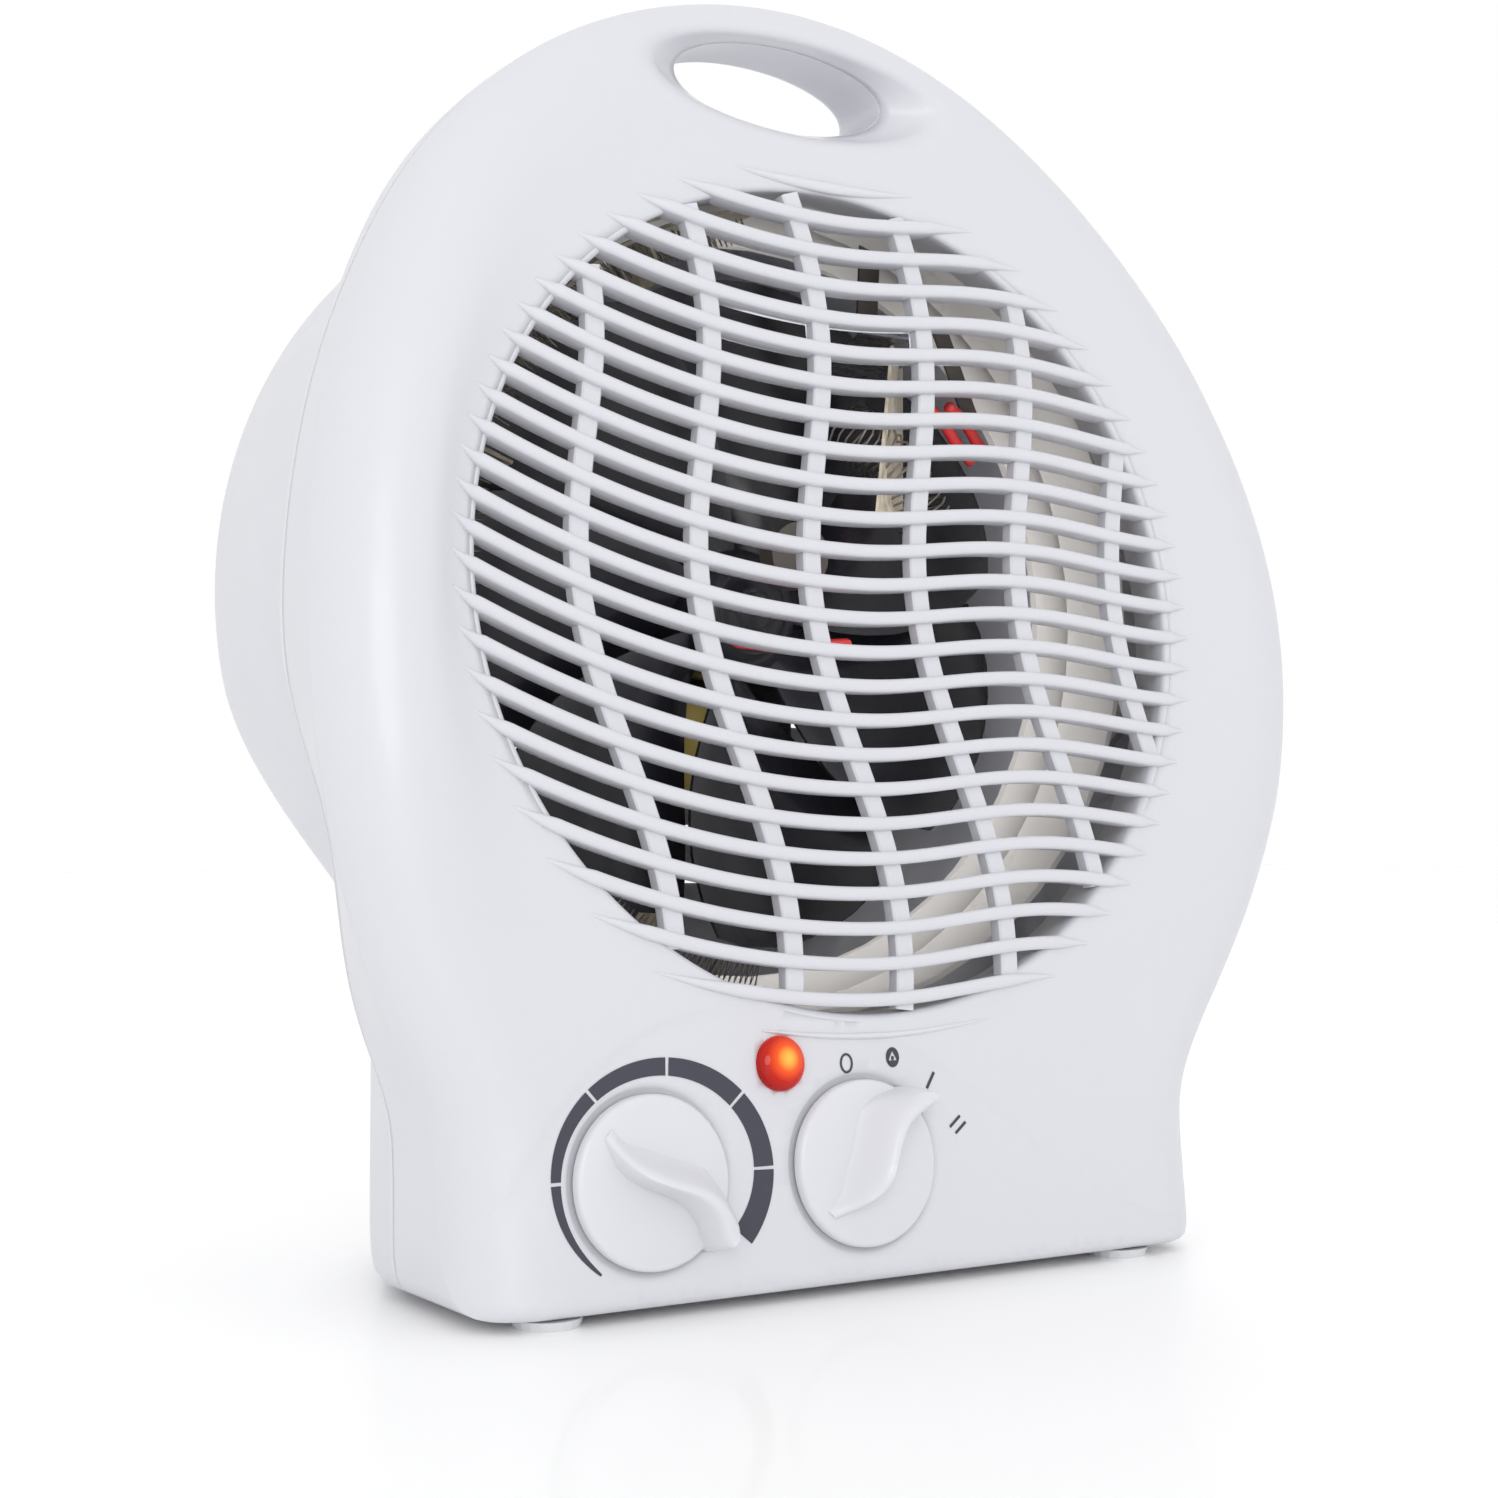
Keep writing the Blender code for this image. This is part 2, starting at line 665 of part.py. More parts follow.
def eye_ring(depth, grow=0.0):
    """The handle's opening at one depth, widening to the front of the parting plane."""
    flare = min(1.35, max(0.0, (PARTING - depth) / (PARTING - LEAN * EYE_CENTRE)))
    half_x = mix(EYE_NECK_HALF_WIDTH, EYE_HALF_WIDTH, flare) + grow
    half_z = mix(EYE_NECK_HALF_HEIGHT, EYE_HALF_HEIGHT, flare) + grow
    centre = mix(EYE_NECK_CENTRE, EYE_CENTRE, flare)
    ring = []
    for i in range(EYE_SIDES):
        turn = math.radians(360.0 * i / EYE_SIDES)
        x = GRILLE_X + EYE_X + half_x * math.cos(turn)
        z = GRILLE_Z + centre + half_z * math.sin(turn)
        ring.append((x, FACE_Y + depth, z))
    return ring


def eye_solid(name, depths, grow=0.0):
    rings = [eye_ring(depth, grow) for depth in depths]
    mesh = loft_mesh(name, rings, outward_first=False, cap_last=True, cap_first=True)
    return add(name, mesh, cutter=True)


def wave_of_bars(x):
    """How far a bar has risen from its height at the grille's middle, x to its right."""
    if x < 0.0:
        return BAR_LEFT_CURVE * x * x
    return BAR_RIGHT_SWING * (1.0 - math.cos(2.0 * math.pi * x / BAR_RIGHT_WAVE))


def wave_of_ribs(y):
    """How far a rib has moved to the right from its place at the grille's middle, y above it."""
    swing = RIB_SWING * math.cos(2.0 * math.pi * (y - RIB_CREST) / RIB_WAVE)
    return RIB_SHIFT + swing - RIB_SLANT * y


def crossing(bar_y, rib_x):
    x = rib_x
    y = bar_y
    for _ in range(12):
        y = bar_y + wave_of_bars(x)
        x = rib_x + wave_of_ribs(y)
    return x, y


def clip_to_circle(polygon, radius):
    """Cuts a polygon back to a circle, one straight edge of the circle at a time."""
    rim = circle_points(radius, 48)
    for (ax, ay), (bx, by) in zip(rim, rim[1:] + rim[:1]):
        kept = []
        side = [(bx - ax) * (y - ay) - (by - ay) * (x - ax) for x, y in polygon]
        for i, (here, value) in enumerate(zip(polygon, side)):
            before = polygon[i - 1]
            value_before = side[i - 1]
            if (value >= 0.0) != (value_before >= 0.0):
                share = value_before / (value_before - value)
                kept.append((mix(before[0], here[0], share), mix(before[1], here[1], share)))
            if value >= 0.0:
                kept.append(here)
        polygon = kept
        if len(polygon) < 3:
            return []
    return polygon


def area(polygon):
    return 0.5 * sum(a[0] * b[1] - b[0] * a[1] for a, b in zip(polygon, polygon[1:] + polygon[:1]))


def grille_cells():
    """The openings between bars and ribs, clipped to the grille's round edge."""
    cells = []
    for bar in BAR_NUMBERS:
        for rib in RIB_NUMBERS:
            low = BAR_PHASE + bar * BAR_PITCH + BAR_WIDTH / 2
            high = low + BAR_PITCH - BAR_WIDTH
            left = RIB_PHASE + rib * RIB_PITCH + RIB_WIDTH / 2
            right = left + RIB_PITCH - RIB_WIDTH
            corners = ((low, left), (low, right), (high, right), (high, left))
            cell = clip_to_circle([crossing(*corner) for corner in corners], OPENING_RADIUS)
            if cell and area(cell) > CELL_MIN_AREA:
                cells.append(cell)
    return cells


def grille_plate():
    loops = [circle_points(PLATE_RADIUS, 64)] + grille_cells()
    return extruded(
        "grille plate", loops, PLATE_THICKNESS, parent=FACE, z=-GAP - PLATE_THICKNESS / 2, cutter=True
    )


def face_cylinder(name, x, y, radius, low, high, segments=32):
    tool = add(name, cylinder_mesh(name, radius, low, high, segments), parent=FACE, cutter=True)
    tool.location = (x, y, 0.0)
    return tool


def screw_places():
    """The case screws' places on the flange, from the grille's centre, and their heads' depths."""
    places = []
    for angle, reach, seat in CASE_SCREWS:
        height = reach * math.sin(math.radians(angle))
        for side in (1, -1):
            x = side * reach * math.cos(math.radians(angle)) + shoulder_shift(height)
            places.append((x, height, seat))
    return places


def core_cylinder(name, x, y, radius, front, back, segments=16):
    """A cylinder along the heater's depth, from one depth behind the face to another."""
    tool = add(name, cylinder_mesh(name, radius, -back, -front, segments), parent=CORE, cutter=True)
    tool.location = (x, y, 0.0)
    return tool


def add_wall(cover):
    shell = cover.modifiers.new("wall", "SOLIDIFY")
    shell.thickness = WALL
    shell.offset = -1.0


def add_front_bosses(cover):
    for i, (x, y, _) in enumerate(screw_places()):
        crown = RIDGE * (x / math.hypot(x, y)) ** 2
        front = LEAN * y - crown + BOSS_START
        back = PARTING - GAP / 2
        boolean(cover, core_cylinder(f"front boss {i}", x, y, BOSS_RADIUS, front, back), "UNION")
        pilot = core_cylinder(f"front pilot {i}", x, y, PILOT_RADIUS, front + BOSS_BLIND, 2 * PARTING)
        boolean(cover, pilot)


def cut_panel(cover):
    """The dials' recesses and the holes for their stems and for the lamp."""
    for name, x in (("thermostat", THERMOSTAT_X), ("function", FUNCTION_X)):
        recess = face_cylinder(f"{name} recess", x, DIAL_HEIGHT, RECESS_RADIUS, -RECESS_DEPTH, REACH, 48)
        boolean(cover, recess)
        boolean(cover, face_cylinder(f"{name} hole", x, DIAL_HEIGHT, SPINDLE_HOLE, -REACH, REACH, 24))
    boolean(cover, face_cylinder("lamp hole", LAMP_X, LAMP_HEIGHT, LAMP_HOLE, -REACH, REACH, 24))


def make_front_cover():
    mesh = loft_mesh("front_cover", rings_of(front_profile))
    cover = add("front_cover", mesh, plastic("white plastic", WHITE))
    add_wall(cover)
    boolean(cover, grille_plate(), "UNION")
    depths = (LEAN * EYE_CENTRE + GAP, PARTING - GAP / 2)
    boolean(cover, eye_solid("front eye wall", depths, WALL), "UNION")
    add_front_bosses(cover)
    boolean(cover, eye_solid("front eye", (-REACH, 0.0, PARTING + REACH)))
    cut_panel(cover)
    smooth(cover)


def intake_slots():
    """Boxes for the slots in the back, in two columns either side of a middle bar."""
    boxes = []
    for row in SLOT_ROWS:
        height = row * SLOT_PITCH
        reach = math.sqrt(SLOT_CIRCLE**2 - height**2)
        near = SLOT_MIDDLE_BAR if abs(row) > 1 else POST_X + POST_RADIUS
        for side in (1, -1):
            ends = sorted((GRILLE_X + side * near, GRILLE_X + side * reach))
            low = (ends[0], FACE_Y + REAR_DEPTH - REACH, GRILLE_Z + height - SLOT_HALF_HEIGHT)
            high = (ends[1], FACE_Y + REAR_DEPTH + REACH, GRILLE_Z + height + SLOT_HALF_HEIGHT)
            boxes.append((low, high))
    return boxes


def add_motor_posts(cover):
    """Two posts inside the back, bored for the screws that hold the motor."""
    front, back = POST_DEPTHS
    for side in (1, -1):
        post = core_cylinder(f"motor post {side}", side * POST_X, 0.0, POST_RADIUS, front, back)
        boolean(cover, post, "UNION")
        pilot = core_cylinder(
            f"motor pilot {side}", side * POST_X, 0.0, PILOT_RADIUS, front - REACH, back - 3.0 * MM
        )
        boolean(cover, pilot)


def make_rear_cover():
    mesh = loft_mesh("rear_cover", rings_of(rear_profile), outward_first=False, cap_last=True)
    cover = add("rear_cover", mesh, plastic("white plastic", WHITE))
    add_wall(cover)
    wall = eye_solid("rear eye wall", (PARTING + GAP / 2, HANDLE_DEPTH - 1.0 * MM), WALL)
    boolean(cover, wall, "UNION")
    add_motor_posts(cover)
    for i, (x, y, seat) in enumerate(screw_places()):
        hole = core_cylinder(f"rear screw hole {i}", x, y, PILOT_RADIUS, PARTING - REACH, seat + REACH)
        boolean(cover, hole)
    boolean(cover, eye_solid("rear eye", (PARTING - REACH, HANDLE_DEPTH + REACH)))
    boolean(cover, add("intake slots", boxes_mesh("intake slots", intake_slots()), cutter=True))
    front, back = BUSH_DEPTHS
    hole = core_cylinder("cord hole", *BUSH_PLACE, BUSH_HOLE, front - REACH, back + REACH, 24)
    boolean(cover, hole)
    smooth(cover)


def make_feet():
    """Four feet under the sole, their tops a gap below it."""
    top = GRILLE_Z + BASE_Z - GAP
    profile = ((0.0, top), (FOOT_RADIUS, top), (FOOT_RADIUS - 0.5 * MM, 0.0), (0.0, 0.0))
    for name, x, depth in FEET:
        foot = turned(name, profile, plastic("pale rubber", PALE_RUBBER, 0.6), steps=20)
        foot.location = (GRILLE_X + x, FACE_Y + depth, 0.0)


def make_case_screws():
    steel = plastic("zinc steel", STEEL, 0.35, 1.0)
    for i, (x, y, seat) in enumerate(screw_places()):
        profile = (
            (0.0, -SCREW_TIP),
            (SCREW_RADIUS, -SCREW_TIP),
            (SCREW_RADIUS, -seat),
            (SCREW_HEAD_RADIUS, -seat),
            (SCREW_HEAD_RADIUS, -seat - SCREW_HEAD_HEIGHT / 2),
            (SCREW_RADIUS, -seat - SCREW_HEAD_HEIGHT),
            (0.0, -seat - SCREW_HEAD_HEIGHT),
        )
        screw = turned(f"case_screw_{i + 1}", profile, steel, CORE, steps=12)
        screw.location = (x, y, 0.0)


# The controls on the face.


def grip_outline():
    """The S-shaped grip: a band along a wave, from a thin tail to a broad pointer."""
    right = []
    left = []
    for i in range(GRIP_STEPS + 1):
        share = i / GRIP_STEPS
        along = mix(-GRIP_TAIL, GRIP_TIP, share)
        bow = GRIP_BOW * math.sin(2.0 * math.pi * share)
        rounding = math.sqrt(math.sin(math.pi * mix(0.12, 0.95, share)))
        half = mix(GRIP_TAIL_HALF, GRIP_TIP_HALF, share) * rounding
        right.append((bow + half, along))
        left.append((bow - half, along))
    return left + right[::-1]


def make_dial(name, x, angle):
    """A dial about its own axis, turned so that its pointer stands at an angle from upright."""
    axis = bpy.data.objects.new(name + " axis", None)
    axis.parent = FACE
    axis.location = (x, DIAL_HEIGHT, 0.0)
    axis.rotation_euler = (0.0, 0.0, -math.radians(angle))
    PARTS.objects.link(axis)
    profile = (
        (0.0, DIAL_PROUD),
        (DIAL_RADIUS - DIAL_CHAMFER, DIAL_PROUD),
        (DIAL_RADIUS, DIAL_PROUD - DIAL_CHAMFER),
        (DIAL_RADIUS, DIAL_UNDERSIDE),
        (STEM_RADIUS, DIAL_UNDERSIDE),
        (STEM_RADIUS, STEM_END),
        (0.0, STEM_END),
    )
    dial = turned(name, profile, plastic("white plastic", WHITE), axis, steps=40)
    top = DIAL_PROUD + GRIP_HEIGHT
    grip = extruded(name + " grip", [grip_outline()], top, parent=axis, z=top / 2, cutter=True)
    boolean(dial, grip, "UNION")
    mesh = cylinder_mesh(name + " bore", SPINDLE_RADIUS + GAP, STEM_END - REACH, GAP, 20)
    boolean(dial, add(name + " bore", mesh, parent=axis, cutter=True))
    return axis


def make_spindle(name, axis):
    profile = ((0.0, 0.0), (SPINDLE_RADIUS, 0.0), (SPINDLE_RADIUS, SPINDLE_END), (0.0, SPINDLE_END))
    turned(name, profile, plastic("cream plastic", CREAM, 0.5), axis, steps=20)


def make_control_bodies():
    """The thermostat and the rotary switch behind the panel, each bored for its spindle."""
    cream = plastic("cream plastic", CREAM, 0.5)
    body = turned("thermostat_body", THERMOSTAT_PROFILE, cream, FACE, closed=True, steps=28)
    blade_mesh = box_mesh("thermostat_blade", *THERMOSTAT_BLADE)
    blade = add("thermostat_blade", blade_mesh, plastic("zinc steel", STEEL, 0.35, 1.0), FACE)
    for thing in (body, blade):
        thing.location = (THERMOSTAT_X, DIAL_HEIGHT, 0.0)
    switch = add("switch_body", box_mesh("switch_body", *SWITCH_BOX), cream, FACE)
    switch.location = (FUNCTION_X, DIAL_HEIGHT, 0.0)
    radius = SPINDLE_RADIUS + GAP
    end = SPINDLE_END - GAP
    boolean(switch, face_cylinder("switch bore", FUNCTION_X, DIAL_HEIGHT, radius, end, 0.0, 20))


def make_indicator():
    """The lamp and the hollow lens over it."""
    lens = turned("indicator_lens", LENS_PROFILE, plastic("red lens", RED, 0.15), FACE, steps=24)
    lamp = turned("neon_lamp", BULB_PROFILE, plastic("lamp glass", LAMP_GLASS, 0.1), FACE, steps=16)
    for thing in (lens, lamp):
        thing.location = (LAMP_X, LAMP_HEIGHT, 0.0)


# The heater, behind the grille.


def make_ring(name, outer, inner, front, back, material):
    """A ring of square section about the heater's middle, between two depths."""
    profile = ((outer, -front), (outer, -back), (inner, -back), (inner, -front))
    return turned(name, profile, material, CORE, closed=True, steps=48)


def make_rings():
    frame_metal = plastic("dull steel", BEIGE, 0.4, 0.6)
    make_ring("heater_frame", FRAME_RADIUS, FRAME_RADIUS - FRAME_WALL, FRAME_FRONT, FRAME_BACK, frame_metal)
    beige = plastic("beige plastic", BEIGE, 0.5)
    back = BAFFLE_DEPTH + BAFFLE_THICKNESS
    make_ring("air_baffle", BAFFLE_OUTER, BAFFLE_INNER, BAFFLE_DEPTH, back, beige)


def make_mica_supports():
    """Mica plates on edge, like spokes, with a window round each coil."""
    half = MICA_THICKNESS / 2
    low = (MICA_INNER, -half, 1.0 * MM - FRAME_BACK)
    high = (MICA_OUTER, half, -FRAME_FRONT - 1.0 * MM)
    for i, angle in enumerate(MICA_ANGLES):
        turn = (0.0, 0.0, math.radians(angle))
        mesh = box_mesh("support", low, high)
        support = add(f"mica_support_{i + 1}", mesh, plastic("mica", MICA, 0.5), CORE)
        support.rotation_euler = turn
        windows = []
        for _, ring, _ in COILS:
            near = (ring - MICA_WINDOW, -REACH, -COIL_DEPTH - MICA_WINDOW)
            far = (ring + MICA_WINDOW, REACH, -COIL_DEPTH + MICA_WINDOW)
            windows.append((near, far))
        cutter = add(f"mica windows {i + 1}", boxes_mesh("windows", windows), parent=CORE, cutter=True)
        cutter.rotation_euler = turn
        boolean(support, cutter)


def make_coils():
    """Each coil as the round envelope of its wire: most of a ring, open where its ends lead out."""
    wire = plastic("resistance wire", WIRE, 0.3, 1.0)
    for name, ring, start in COILS:
        points = [(x, y, -COIL_DEPTH) for x, y in circle_points(ring, 34, start, COIL_SWEEP)]
        tube(f"heating_coil_{name}", points, COIL_RADIUS, wire, CORE)


def make_safety_parts():
    """The thermal cut-out and the fuse in its sleeve, in the middle of the heater."""
    front, back = CUTOUT_DEPTHS
    profile = ((0.0, -front), (CUTOUT_RADIUS, -front), (CUTOUT_RADIUS, -back), (0.0, -back))
    cutout = turned("thermal_cutout", profile, plastic("bakelite", BLACK, 0.4), CORE, steps=24)
    cutout.location = (0.0, CUTOUT_HEIGHT, 0.0)
    tube("thermal_fuse", FUSE_PATH, FUSE_RADIUS, plastic("red sleeve", SLEEVE, 0.5), CORE)


# The fan and its motor.


def blade_ring(reach):
    """One section of a blade: a thin strip, twisted out of the fan's plane."""
    share = (reach - BLADE_ROOT) / (FAN_RADIUS - BLADE_ROOT)
    pitch = math.radians(mix(*BLADE_PITCHES, share))
    widest = (FAN_BACK - FAN_FRONT) / 2 / math.sin(pitch)
    half = min(mix(*BLADE_HALF_WIDTHS, share), widest)
    thick = BLADE_HALF_THICKNESS
    ring = []
    for along, off in ((-half, -thick), (half, -thick), (half, thick), (-half, thick)):
        across = along * math.cos(pitch) - off * math.sin(pitch)
        depth = along * math.sin(pitch) + off * math.cos(pitch)
        turn = across / reach
        middle = (FAN_FRONT + FAN_BACK) / 2
        ring.append((reach * math.sin(turn), reach * math.cos(turn), -middle - depth))
    return ring


def make_fan(axis):
    fan = turned("fan_impeller", HUB_PROFILE, plastic("black plastic", BLACK, 0.25), axis, steps=40)
    rings = [blade_ring(reach) for reach in BLADE_REACHES]
    for i in range(FAN_BLADES):
        mesh = loft_mesh(f"blade {i}", rings, cap_last=True, cap_first=True)
        blade = add(f"blade {i}", mesh, parent=axis, cutter=True)
        blade.rotation_euler = (0.0, 0.0, math.radians(360.0 * i / FAN_BLADES))
        boolean(fan, blade, "UNION")
    mesh = cylinder_mesh("fan bore", SHAFT_RADIUS + GAP, -FAN_BACK - REACH, -FAN_BORE_FRONT, 16)
    boolean(fan, add("fan bore", mesh, parent=axis, cutter=True))


def make_shaft_and_rotor(axis):
    front, back = SHAFT_DEPTHS
    profile = ((0.0, -front), (SHAFT_RADIUS, -front), (SHAFT_RADIUS, -back), (0.0, -back))
    turned("motor_shaft", profile, plastic("zinc steel", STEEL, 0.35, 1.0), axis, steps=16)
    front, back = ROTOR_DEPTHS
    bore = SHAFT_RADIUS + GAP
    profile = ((bore, -front), (ROTOR_RADIUS, -front), (ROTOR_RADIUS, -back), (bore, -back))
    laminate = plastic("laminations", LAMINATE, 0.45, 0.9)
    turned("motor_rotor", profile, laminate, axis, closed=True, steps=32)


def make_stator():
    """The laminated stator with the coil wound on its lower limb."""
    low = (-STATOR_SIDE, STATOR_BOTTOM, -STATOR_BACK)
    high = (STATOR_SIDE, STATOR_TOP, -STATOR_FRONT)
    laminate = plastic("laminations", LAMINATE, 0.45, 0.9)
    stator = add("motor_stator", box_mesh("motor_stator", low, high), laminate, CORE)
    front = STATOR_FRONT - REACH
    back = STATOR_BACK + REACH
    boolean(stator, core_cylinder("stator bore", 0.0, 0.0, ROTOR_RADIUS + GAP, front, back, 40))
    window = box_mesh("stator window", *STATOR_WINDOW)
    boolean(stator, add("stator window", window, parent=CORE, cutter=True))
    for side in (1, -1):
        way = core_cylinder(f"stator bolt way {side}", side * POST_X, 0.0, MOTOR_BOLT_WAY, front, back)
        boolean(stator, way)
    winding_mesh = box_mesh("motor_winding", *WINDING_BOX)
    winding = add("motor_winding", winding_mesh, plastic("winding tape", TAPE, 0.5), CORE)
    core = add("winding core", box_mesh("winding core", *WINDING_CORE), parent=CORE, cutter=True)
    boolean(winding, core)


def make_bracket(name, plate, feet):
    """A bracket across the motor: a plate with a foot at each end and a seat for its bearing."""
    half_x, half_y = BRACKET_HALF
    mesh = box_mesh("bracket", (-half_x, -half_y, -plate[1]), (half_x, half_y, -plate[0]))
    bracket = add(f"motor_bracket_{name}", mesh, plastic("zinc steel", STEEL, 0.35, 1.0), CORE)
    front = feet[0] - REACH
    back = feet[1] + REACH
    for side in (1, -1):
        foot = core_cylinder(f"{name} foot {side}", side * POST_X, 0.0, BRACKET_FOOT_RADIUS, *feet)
        boolean(bracket, foot, "UNION")
        way = core_cylinder(f"{name} way {side}", side * POST_X, 0.0, PILOT_RADIUS, front, back)
        boolean(bracket, way)
    boolean(bracket, core_cylinder(f"{name} seat", 0.0, 0.0, BEARING_RADIUS + GAP, front, back, 24))
    middle = (plate[0] + plate[1]) / 2
    front = middle - BEARING_HALF_LENGTH
    back = middle + BEARING_HALF_LENGTH
    bore = SHAFT_RADIUS + GAP
    profile = ((bore, -front), (BEARING_RADIUS, -front), (BEARING_RADIUS, -back), (bore, -back))
    bronze = plastic("bronze", BRONZE, 0.35, 1.0)
    turned(f"motor_bearing_{name}", profile, bronze, CORE, closed=True, steps=24)


def make_motor_screws():
    steel = plastic("zinc steel", STEEL, 0.35, 1.0)
    for name, side in (("left", -1), ("right", 1)):
        screw = turned(f"motor_screw_{name}", MOTOR_SCREW_PROFILE, steel, CORE, steps=16)
        screw.location = (side * POST_X, 0.0, 0.0)


def make_inlet():
    """The bush in the back that a supply lead would pass, and the terminal block inside."""
    inner, outer = BUSH_RADII
    front, back = BUSH_DEPTHS
    profile = ((outer, -front), (outer, -back), (inner, -back), (inner, -front))
    bush = turned("inlet_bush", profile, plastic("white plastic", WHITE), CORE, closed=True, steps=24)
    bush.location = (*BUSH_PLACE, 0.0)
    block = box_mesh("terminal_block", *TERMINAL_BOX)
    add("terminal_block", block, plastic("bakelite", BLACK, 0.4), CORE)


def main():
    make_front_cover()
    make_rear_cover()
    make_feet()
    make_case_screws()
    make_spindle("thermostat_spindle", make_dial("thermostat_knob", THERMOSTAT_X, THERMOSTAT_ANGLE))
    make_spindle("switch_spindle", make_dial("function_knob", FUNCTION_X, FUNCTION_ANGLE))
    make_control_bodies()
    make_indicator()
    make_rings()
    make_mica_supports()
    make_coils()
    make_safety_parts()
    fan_axis = make_empty("fan axis", FACE_Y, 0.0)
    make_fan(fan_axis)
    make_shaft_and_rotor(fan_axis)
    make_stator()
    make_bracket("front", FRONT_BRACKET, FRONT_BRACKET_FEET)
    make_bracket("rear", REAR_BRACKET, REAR_BRACKET_FEET)
    make_motor_screws()
    make_inlet()


clear_scene()
PARTS = make_collection("fan convector heater")
CUTTERS = make_collection("cutters")
FACE = make_empty("face frame", FACE_Y, LEAN_ANGLE)
CORE = make_empty("core frame", FACE_Y, 0.0)
main()
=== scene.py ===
"""The look of a fan convector heater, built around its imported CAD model.

Detailed covers, grille, dials, heater and fan stand for the plain CAD solids. Lengths are in metres.
"Grille coordinates" are x to the right, y back from the face and z up, from the grille's centre.
"Face coordinates" lie in the leaning face: x to the right, y up along it, and a height out of it.
"""

import json
import math
import random

import bmesh
import bpy
from mathutils import Matrix, Vector
from mathutils.geometry import delaunay_2d_cdt


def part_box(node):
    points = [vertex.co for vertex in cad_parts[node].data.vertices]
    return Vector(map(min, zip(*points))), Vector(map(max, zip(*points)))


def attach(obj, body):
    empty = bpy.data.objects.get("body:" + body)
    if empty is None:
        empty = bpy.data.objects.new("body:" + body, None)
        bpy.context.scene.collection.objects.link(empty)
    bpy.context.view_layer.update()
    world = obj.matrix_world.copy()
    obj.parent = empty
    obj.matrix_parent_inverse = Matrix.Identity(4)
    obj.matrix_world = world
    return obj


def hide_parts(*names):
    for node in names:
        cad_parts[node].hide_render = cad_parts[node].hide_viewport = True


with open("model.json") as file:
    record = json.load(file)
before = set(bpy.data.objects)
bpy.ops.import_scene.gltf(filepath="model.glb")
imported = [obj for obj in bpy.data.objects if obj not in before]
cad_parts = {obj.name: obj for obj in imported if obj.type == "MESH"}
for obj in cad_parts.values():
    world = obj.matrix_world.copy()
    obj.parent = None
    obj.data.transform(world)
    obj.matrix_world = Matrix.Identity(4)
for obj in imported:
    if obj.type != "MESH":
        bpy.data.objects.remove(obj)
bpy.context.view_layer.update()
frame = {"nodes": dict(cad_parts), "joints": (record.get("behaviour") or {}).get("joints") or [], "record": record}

MM = 0.001
JOINTS = {joint["name"]: joint for joint in frame["joints"]}
NODES = frame["nodes"]

# Where the CAD model puts the grille's centre and the leaning face.
FAN_POINT = Vector(JOINTS["fan_spin"]["pos_m"])
DIAL_AXIS = Vector(JOINTS["thermostat_turn"]["axis"])
THERMOSTAT_POINT = Vector(JOINTS["thermostat_turn"]["pos_m"])
FUNCTION_POINT = Vector(JOINTS["function_turn"]["pos_m"])
LEAN = -DIAL_AXIS.z / DIAL_AXIS.y
GRILLE = Vector((FAN_POINT.x, THERMOSTAT_POINT.y - LEAN * (THERMOSTAT_POINT.z - FAN_POINT.z), FAN_POINT.z))
LEAN_ANGLE = math.atan(LEAN)
FACE_MATRIX = Matrix.Translation(GRILLE) @ Matrix.Rotation(math.radians(90.0) - LEAN_ANGLE, 4, "X")
CORE_MATRIX = Matrix.Translation(GRILLE) @ Matrix.Rotation(math.radians(90.0), 4, "X")

# The outline of the covers, as in the CAD model.
BODY_HALF_WIDTH = 117.0 * MM
BODY_HALF_HEIGHT = 134.0 * MM
BODY_TOP_HEIGHT = 130.2 * MM
BODY_CENTRE = -8.0 * MM
BASE_HALF_WIDTH = 87.0 * MM
BASE_Z = -133.5 * MM
WAIST_BLEND = 3.5 * MM
SHOULDER_SHIFT = 4.5 * MM
SHOULDER_SPAN = 60.0 * MM
TOP_SHIFT = 4.2 * MM
TOP_SHIFT_HEIGHTS = (50.0 * MM, 115.0 * MM)
BASE_SHIFT = 3.0 * MM
BASE_SHIFT_DEPTHS = (60.0 * MM, 110.0 * MM)
SIDE_TAPER = 6.0 * MM
SIDE_TAPER_Z = -50.0 * MM
SIDE_TAPER_SPAN = 25.0 * MM
CORNER_BLEND = 4.0 * MM
LIMIT = 400.0 * MM
WALL = 2.5 * MM
GAP = 0.3 * MM
PARTING = 20.0 * MM
EDGE_RADIUS = 16.0 * MM
SOLE_EDGE_RADIUS = 3.0 * MM
RIM_FLAT = 1.5 * MM
RIDGE = 6.0 * MM
RIDGE_HEIGHTS = (-95.0 * MM, -35.0 * MM)
DRUM_RADIUS = 99.7 * MM
DRUM_RISE = 4.2 * MM
DRUM_TOP = 97.0 * MM
PEDESTAL_SIDE = ((20.0, 88.5), (34.0, 85.5), (46.0, 80.0), (58.0, 74.0), (76.0, 64.0), (86.0, 57.0))
REAR_DEPTH = 100.0 * MM
PEDESTAL_DEPTH = 86.0 * MM
FLANGE_DEPTH = 27.0 * MM
HANDLE_DEPTH = 35.0 * MM
DIRECTIONS = 240
EDGE_TURN = 30.0
WALL_SHARES = (0.2, 0.4, 0.6, 0.8, 1.0)

